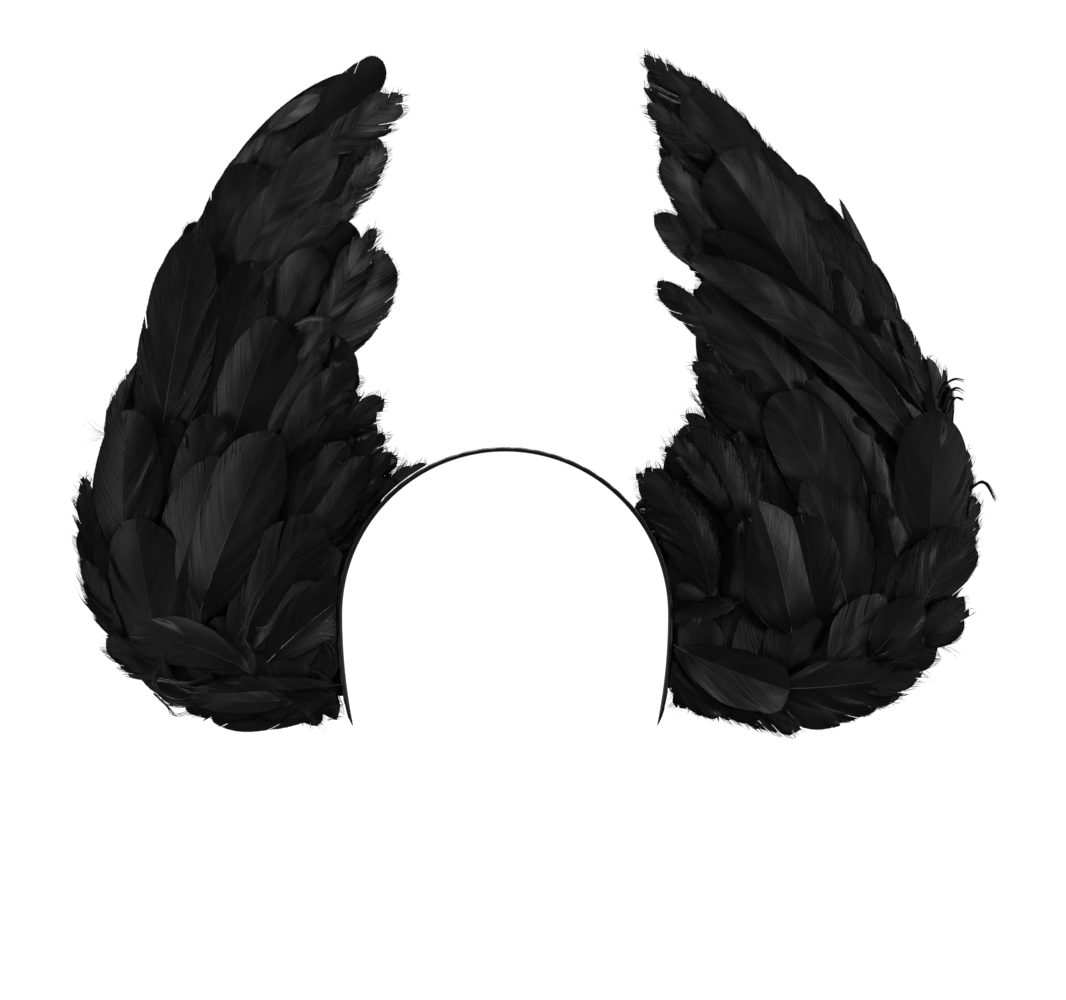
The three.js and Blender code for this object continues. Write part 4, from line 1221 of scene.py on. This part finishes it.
class HEADPIECE_OT_band(Operator):
    """Builds the arch band with its spiral ribbon wrap"""

    bl_idname = "headpiece.band"
    bl_label = "Band"

    def execute(self, context):
        band = context.scene.band_sizes
        sides, arch, leg = 16, 180, 60
        angle = np.linspace(0, math.pi, arch)
        legs = np.linspace(band.leg_length / band.leg_radius, 0, leg, endpoint=False)
        centre = band.arch_radius - band.leg_radius
        leg_x = centre + band.leg_radius * np.cos(legs)
        leg_z = -band.arch_radius - band.leg_radius * np.sin(legs)
        x = np.concatenate([leg_x, band.arch_radius * np.cos(angle), -leg_x[::-1]])
        z = np.concatenate([leg_z, band.arch_radius * (np.sin(angle) - 1), leg_z[::-1]])
        out_x = np.concatenate([np.cos(legs), np.cos(angle), -np.cos(legs)[::-1]])
        out_z = np.concatenate([-np.sin(legs), np.sin(angle), -np.sin(legs)[::-1]])
        run = np.concatenate([[0], np.cumsum(np.hypot(np.diff(x), np.diff(z)))])
        tip = np.minimum(run, run[-1] - run)
        full = np.sqrt(np.clip(1 - (1 - np.clip(tip / END_ROUND, 0, 1)) ** 2, 0.02, 1))
        taper = smooth_step(tip / END_TAPER)
        half_width = band.width / 2 * (END_WIDTH + (1 - END_WIDTH) * taper) * full
        half_thick = band.thickness / 2 * (END_THICKNESS + (1 - END_THICKNESS) * taper) * full
        turn = np.linspace(0, 2 * math.pi, sides, endpoint=False)
        around_y = np.sign(np.cos(turn)) * np.abs(np.cos(turn)) ** 0.5
        around_out = np.sign(np.sin(turn)) * np.abs(np.sin(turn)) ** 0.6
        y = half_width[:, None] * around_y
        step = (run[:, None] + WRAP_SLANT * y) / band.wrap_pitch % 1.0
        ramp = smooth_step(step / (1 - WRAP_LAP)) - smooth_step((step - (1 - WRAP_LAP)) / WRAP_LAP)
        wrap = WRAP_RISE * ramp * np.minimum(1, tip / WRAP_START)[:, None]
        proud = wrap * np.where(around_out > 0, 1, 0.0)
        out = half_thick[:, None] * (1 + around_out) - 0.0002 * around_out + proud
        x, z = x[:, None] + out * out_x[:, None], z[:, None] + out * out_z[:, None]
        points = np.stack([x, y + 0.6 * wrap * around_y, z], -1)
        piece = mesh_object(
            "wrapped_band",
            points.reshape(-1, 3),
            ring_faces(len(x), sides),
            shared_material("satin_ribbon", ribbon_material, context),
        )
        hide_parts("headband")
        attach(piece, "root")
        return {"FINISHED"}


class HEADPIECE_OT_panels(Operator):
    """Builds the two felt panels behind the feathers"""

    bl_idname = "headpiece.panels"
    bl_label = "Wing Panels"

    def execute(self, context):
        sizes, band = context.scene.wing_sizes, context.scene.band_sizes
        felt = shared_material("stiff_felt", felt_material, context)
        for side, stops in PANEL_STOPS.items():
            stops = np.array(stops, float)
            up = np.linspace(stops[0, 0], stops[-1, 0], PANEL_ROWS)
            inner = np.interp(up, stops[:, 0], stops[:, 1])
            outer = np.interp(up, stops[:, 0], stops[:, 2])
            share = np.linspace(0, 1, PANEL_COLUMNS)
            out = inner[:, None] + (outer - inner)[:, None] * share
            rows, columns = out.shape
            rise = np.repeat(up[:, None], columns, axis=1)
            number = np.arange(rows)
            across = np.minimum(share, 1 - share)[None, :] * 12
            upward = np.minimum(number, number[::-1])[:, None] / 2
            puff = (1 - np.clip(np.minimum(across, upward), 0, 1)) ** 2 * RIM_DROP
            faced = (wing_points(sizes, side, face, out, rise, -puff).reshape(-1, 3) for face in (-1, 1))
            points = np.concatenate([clear_of_band(band, sheet, PANEL_CLEARANCE) for sheet in faced])
            at = np.arange(rows * columns).reshape(rows, columns)
            quads = np.stack([x.ravel() for x in (at[:-1, :-1], at[:-1, 1:], at[1:, 1:], at[1:, :-1])], 1)
            far = quads[:, ::-1] + rows * columns
            border = np.concatenate([at[0], at[1:, -1], at[-1, -2::-1], at[-2:0:-1, 0]])
            after = np.roll(border, -1)
            rim = np.stack([after, border, border + rows * columns, after + rows * columns], 1)
            faces = np.concatenate([quads, far, rim])
            if SIDES[side] < 0:
                faces = faces[:, ::-1]
            piece = mesh_object(f"{side}_felt_panel", points, faces.tolist(), felt)
            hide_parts(f"{side}_wing_panel")
            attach(piece, "root")
        return {"FINISHED"}


class HEADPIECE_OT_front_feathers(Operator):
    """Builds the charted rows of feathers on the fronts of both wings"""

    bl_idname = "headpiece.front_feathers"
    bl_label = "Front Feathers"

    def execute(self, context):
        finishes = [
            shared_material("front_feather", feather_material, context),
            shared_material("satin_ribbon", ribbon_material, context),
        ]
        for side, chart in FRONT_FEATHERS.items():
            for row, line in ROW_LINES[side].items():
                specs = [charted(side, row, *feather) for feather in chart[row]]
                if row != "hem":
                    specs += companions(side, specs)
                specs += under_layer(side, row)
                feather_row(context, side, -1, row, line, specs, finishes, False)
        return {"FINISHED"}


def chart_seed(side, *places):
    """A seed of its own for each place on a wing's chart."""
    seed = SIDES[side] + 2
    for place in places:
        seed = (seed * 1009 + int(place) + 300) % 1000003
    return seed


def side_seed(side, kind):
    """The first seed of a kind of draw for one wing."""
    return SEEDS[kind] + 1000 * (SIDES[side] + 2)


def charted(side, row, foot_out, foot_up, tip_out, tip_up, width, bow, level, form, tone, shaft):
    """One feather of a front row's chart, with its foot run on."""
    hidden = HIDDEN_FOOT.get(row, 0.0)
    return dict(
        foot=(foot_out - hidden * (tip_out - foot_out), foot_up - hidden * (tip_up - foot_up)),
        tip=(tip_out, tip_up), width=width, bow=bow, level=level, form=form, tone=tone, shaft=shaft,
        seed=chart_seed(side, foot_out, foot_up, tip_out, tip_up),
    )


def fan_feather(fan, share, stray, shift, reach):
    """Foot and tip of a feather at a share of the way across a fan."""
    inner_out, inner_up, outer_out, outer_up, _, inner_angle, outer_angle, length, _ = fan
    angle = math.radians(inner_angle + (outer_angle - inner_angle) * share + stray)
    out = inner_out + (outer_out - inner_out) * share
    foot = np.array([out, inner_up + (outer_up - inner_up) * share + shift])
    return foot, foot + length * reach * np.array([math.cos(angle), math.sin(angle)])


def fits(side, spec):
    """Whether a feather stays inside the outline of its wing."""
    foot, tip = np.array(spec["foot"], float), np.array(spec["tip"], float)
    chord = tip - foot
    heading = chord / np.hypot(*chord)
    aside = np.array([heading[1], -heading[0]])
    bend = 2 * spec["bow"] * np.array([chord[1], -chord[0]])
    edges = np.array(WING_EDGES[side], float)
    for along, share in FIT_PLACES:
        middle = foot + along * chord + 2 * along * (1 - along) * bend
        for hand in (-1, 1):
            out, up = middle + hand * share * spec["width"] * aside
            inner, outer = (np.interp(up, edges[:, 0], edges[:, k]) for k in (1, 2))
            if not (edges[0, 0] < up < edges[-1, 0] and inner < out < outer):
                return False
    return True


def trimmed(side, spec):
    """The feather shortened and narrowed until it fits its wing, or none."""
    foot = np.array(spec["foot"], float)
    for _ in range(TRIM_TRIES):
        if fits(side, spec):
            return [spec]
        spec["tip"] = foot + TRIM_SHARE * (np.array(spec["tip"]) - foot)
        spec["width"] *= TRIM_SHARE
    return []


def companions(side, specs):
    """Darker feathers that peep out beside and beneath a row's charted ones."""
    made = []
    for spec in specs:
        rng = np.random.default_rng(spec["seed"] + SEEDS["companion"])
        foot, tip = np.array(spec["foot"], float), np.array(spec["tip"], float)
        chord = tip - foot
        sideways = np.array([chord[1], -chord[0]])
        aside = sideways / np.hypot(*chord)
        kinds = FLUFFY_FORMS if spec["form"] in ("soft", "ragged") else FIRM_FORMS
        hand = rng.choice([-1, 1], 1)[0]
        swing = hand * rng.uniform(0.04, 0.2)
        share = rng.uniform(0.66, 0.9)
        beside = hand * rng.uniform(0.1, 0.4) * spec["width"] * aside
        start = foot + beside + rng.uniform(-0.06, 0.12) * chord
        made += trimmed(
            side,
            dict(
                foot=start, tip=start + share * (chord + swing * sideways),
                width=max(12, rng.uniform(0.7, 0.95) * spec["width"]), bow=rng.uniform(-0.03, 0.05),
                level=spec["level"] - rng.uniform(0.8, 1.8), form=kinds[rng.integers(len(kinds))],
                tone=rng.uniform(0.03, 0.16), shaft=0.2, seed=spec["seed"] + (300 if hand > 0 else 600),
            ),
        )
    return made


def under_layer(side, row):
    """Broad dark feathers close to the panel, seen only between the rows above them."""
    fan = UNDER_FANS[side][row]
    _, inner_up, _, outer_up, count, _, _, _, width = fan
    made = []
    for i in range(count):
        rng = np.random.default_rng(side_seed(side, "under_place") + 60 * len(row) + i)
        share = i / (count - 1)
        foot, tip = fan_feather(fan, share, rng.normal(0, 2), rng.uniform(-3, 3), rng.uniform(*FAN_REACH))
        made += trimmed(
            side,
            dict(
                foot=foot, tip=tip, width=width * rng.uniform(0.95, 1.1), bow=rng.uniform(-0.02, 0.04),
                level=0.3 * (i % 3), form="under", tone=rng.uniform(0.05, 0.2), shaft=0.2,
                line=(inner_up, outer_up), settle=0.22, seed=side_seed(side, "under") + 100 * len(row) + i,
            ),
        )
    return made


class HEADPIECE_OT_loose_barbs(Operator):
    """Builds the loose barbs and down that stand free of the front feathers, and the bright strands of
    painted glints
    """

    bl_idname = "headpiece.loose_barbs"
    bl_label = "Loose Barbs"

    def execute(self, context):
        sizes, band = context.scene.wing_sizes, context.scene.band_sizes
        finish = shared_material("front_feather", feather_material, context)
        for side, bundles in LOOSE_BARBS_AND_GLINTS.items():
            sheaf = Sheaf()
            rng = np.random.default_rng(SEEDS["barb"] + SIDES[side])
            total = sum(bundle[0] for bundle in bundles)
            index = 0
            for count, stray, lift, radius, tone, path in bundles:
                for _ in range(count):
                    share = np.linspace(0.4, 1.6, len(path))[:, None]
                    places = np.array(path, float) + rng.normal(0, 0.7 * stray, 2) * share
                    places += rng.normal(0, 0.25 * stray, places.shape)
                    add_barb(
                        sheaf, cell_of(index, total), sizes, band, side, places,
                        (lift + rng.normal(0, 0.5)) * MM, radius * rng.uniform(0.7, 1.1) * MM,
                        tone * rng.uniform(0.6, 1.4), rng,
                    )
                    index += 1
            piece = sheaf.to_object(f"{side}_loose_barbs", [finish])
            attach(piece, "root")
        return {"FINISHED"}


class HEADPIECE_OT_back_feathers(Operator):
    """Builds the plain rows of feathers on the backs of both wings"""

    bl_idname = "headpiece.back_feathers"
    bl_label = "Back Feathers"

    def execute(self, context):
        finishes = [
            shared_material("back_feather", feather_material, context),
            shared_material("satin_ribbon", ribbon_material, context),
        ]
        for side, fans in BACK_FANS.items():
            for number, (row, fan) in enumerate(fans.items()):
                rng = np.random.default_rng(SEEDS["back_row"] + number + 10 * SIDES[side])
                inner_out, inner_up, outer_out, outer_up, count, _, _, _, width = fan
                slope = (outer_up - inner_up) / (outer_out - inner_out)
                line = [inner_up + slope * (out - inner_out) for out in (LINE_INNER, LINE_OUTER)]
                specs = []
                for i in range(count):
                    share = i / (count - 1)
                    foot, tip = fan_feather(fan, share, rng.normal(0, 2.5), 1, rng.uniform(*FAN_REACH))
                    form = BACK_FORMS[rng.integers(len(BACK_FORMS))]
                    specs += trimmed(
                        side,
                        dict(
                            foot=foot, tip=tip, width=width * rng.uniform(0.92, 1.1),
                            bow=rng.uniform(-0.02, 0.04), level=i % 3, form=form, tone=rng.uniform(0.15, 0.5),
                            shaft=rng.uniform(0.3, 0.6), seed=side_seed(side, "back") + 50 * number + i,
                        ),
                    )
                feather_row(context, side, 1, row, line, specs, finishes, True)
        return {"FINISHED"}


def add_light(scene, lamp, place, heading):
    """Puts a light into the scene, shining along the heading."""
    made = bpy.data.objects.new(lamp.name, lamp)
    made.location = place
    made.rotation_mode = "QUATERNION"
    made.rotation_quaternion = Vector(heading).to_track_quat("-Z", "Y")
    scene.collection.objects.link(made)


class HEADPIECE_OT_stage(Operator):
    """Sets the pale floor, the soft light and the camera"""

    bl_idname = "headpiece.stage"
    bl_label = "Stage"

    def execute(self, context):
        scene, stage = context.scene, context.scene.stage_sizes
        material, _, shader = new_material("pale_floor")
        socket(shader, "Base Color", (*scene.headpiece_finishes.floor, 1))
        socket(shader, "Roughness", 0.9)
        socket(shader, "Specular IOR Level", 0.1)
        turn = np.linspace(0, 2 * math.pi, FLOOR_SIDES, endpoint=False)
        height = np.full(FLOOR_SIDES, stage.floor_height)
        rim = np.stack([FLOOR_RADIUS * np.cos(turn), FLOOR_RADIUS * np.sin(turn), height], 1)
        floor = mesh_object("floor", rim, [list(range(FLOOR_SIDES))], material)
        floor.visible_glossy = False
        floor.visible_diffuse = False

        sun = bpy.data.lights.new("soft_sky_light", "SUN")
        sun.energy, sun.angle = SKY_POWER, SKY_ANGLE
        add_light(scene, sun, (0, 0, 0), SKY_HEADING)
        for label, (place, size, power) in SOFTBOXES.items():
            lamp = bpy.data.lights.new(label, "AREA")
            lamp.energy, lamp.size = power, size
            add_light(scene, lamp, place, -Vector(place))

        world = bpy.data.worlds.new("white_room")
        world.use_nodes = True
        tree = world.node_tree
        room = tree.nodes["Background"]
        socket(room, "Color", (1, 1, 1, 1))
        socket(room, "Strength", ROOM_LIGHT)
        seen = linked(tree, "ShaderNodeBackground", {"Color": (1, 1, 1, 1), "Strength": ROOM_SEEN})
        path = linked(tree, "ShaderNodeLightPath", {})
        rays = {0: path.outputs["Is Camera Ray"], 1: room.outputs[0], 2: seen.outputs[0]}
        both = linked(tree, "ShaderNodeMixShader", rays)
        tree.links.new(both.outputs[0], tree.nodes["World Output"].inputs["Surface"])
        scene.world = world

        camera = bpy.data.cameras.new("camera")
        camera.sensor_width = SENSOR_WIDTH
        camera.lens = SENSOR_WIDTH * stage.view_distance / stage.view_width
        camera.clip_end = VIEW_END
        viewer = bpy.data.objects.new("camera", camera)
        viewer.location = (stage.view_right, -stage.view_distance, stage.view_up)
        viewer.rotation_euler = (math.pi / 2, 0, 0)
        scene.collection.objects.link(viewer)
        scene.camera = viewer
        scene.view_settings.view_transform = "Standard"
        return {"FINISHED"}


class HEADPIECE_PT_sidebar(Panel):
    """Lists the headpiece's pieces and sizes"""

    bl_idname = "HEADPIECE_PT_sidebar"
    bl_label = "Feather Wing Headband"
    bl_space_type = "VIEW_3D"
    bl_region_type = "UI"
    bl_category = "Headpiece"

    def draw(self, context):
        layout = self.layout
        for group in GROUPS:
            box = layout.box()
            settings = getattr(context.scene, group)
            for key in settings.__annotations__:
                box.prop(settings, key)
        for operator in OPERATORS:
            layout.operator(operator.bl_idname)


GROUPS = {
    "band_sizes": BandSizes,
    "wing_sizes": WingSizes,
    "feather_sizes": FeatherSizes,
    "headpiece_finishes": Finishes,
    "stage_sizes": StageSizes,
}
OPERATORS = (
    HEADPIECE_OT_band,
    HEADPIECE_OT_panels,
    HEADPIECE_OT_front_feathers,
    HEADPIECE_OT_loose_barbs,
    HEADPIECE_OT_back_feathers,
    HEADPIECE_OT_stage,
)


def register():
    for group in GROUPS.values():
        bpy.utils.register_class(group)
    for key, group in GROUPS.items():
        setattr(bpy.types.Scene, key, PointerProperty(type=group))
    for operator in OPERATORS:
        bpy.utils.register_class(operator)
    bpy.utils.register_class(HEADPIECE_PT_sidebar)


def unregister():
    bpy.utils.unregister_class(HEADPIECE_PT_sidebar)
    for operator in reversed(OPERATORS):
        bpy.utils.unregister_class(operator)
    for key, group in reversed(GROUPS.items()):
        delattr(bpy.types.Scene, key)
        bpy.utils.unregister_class(group)


def main():
    register()
    bpy.ops.headpiece.band()
    bpy.ops.headpiece.panels()
    bpy.ops.headpiece.front_feathers()
    bpy.ops.headpiece.loose_barbs()
    bpy.ops.headpiece.back_feathers()
    bpy.ops.headpiece.stage()


if __name__ == "__main__":
    main()
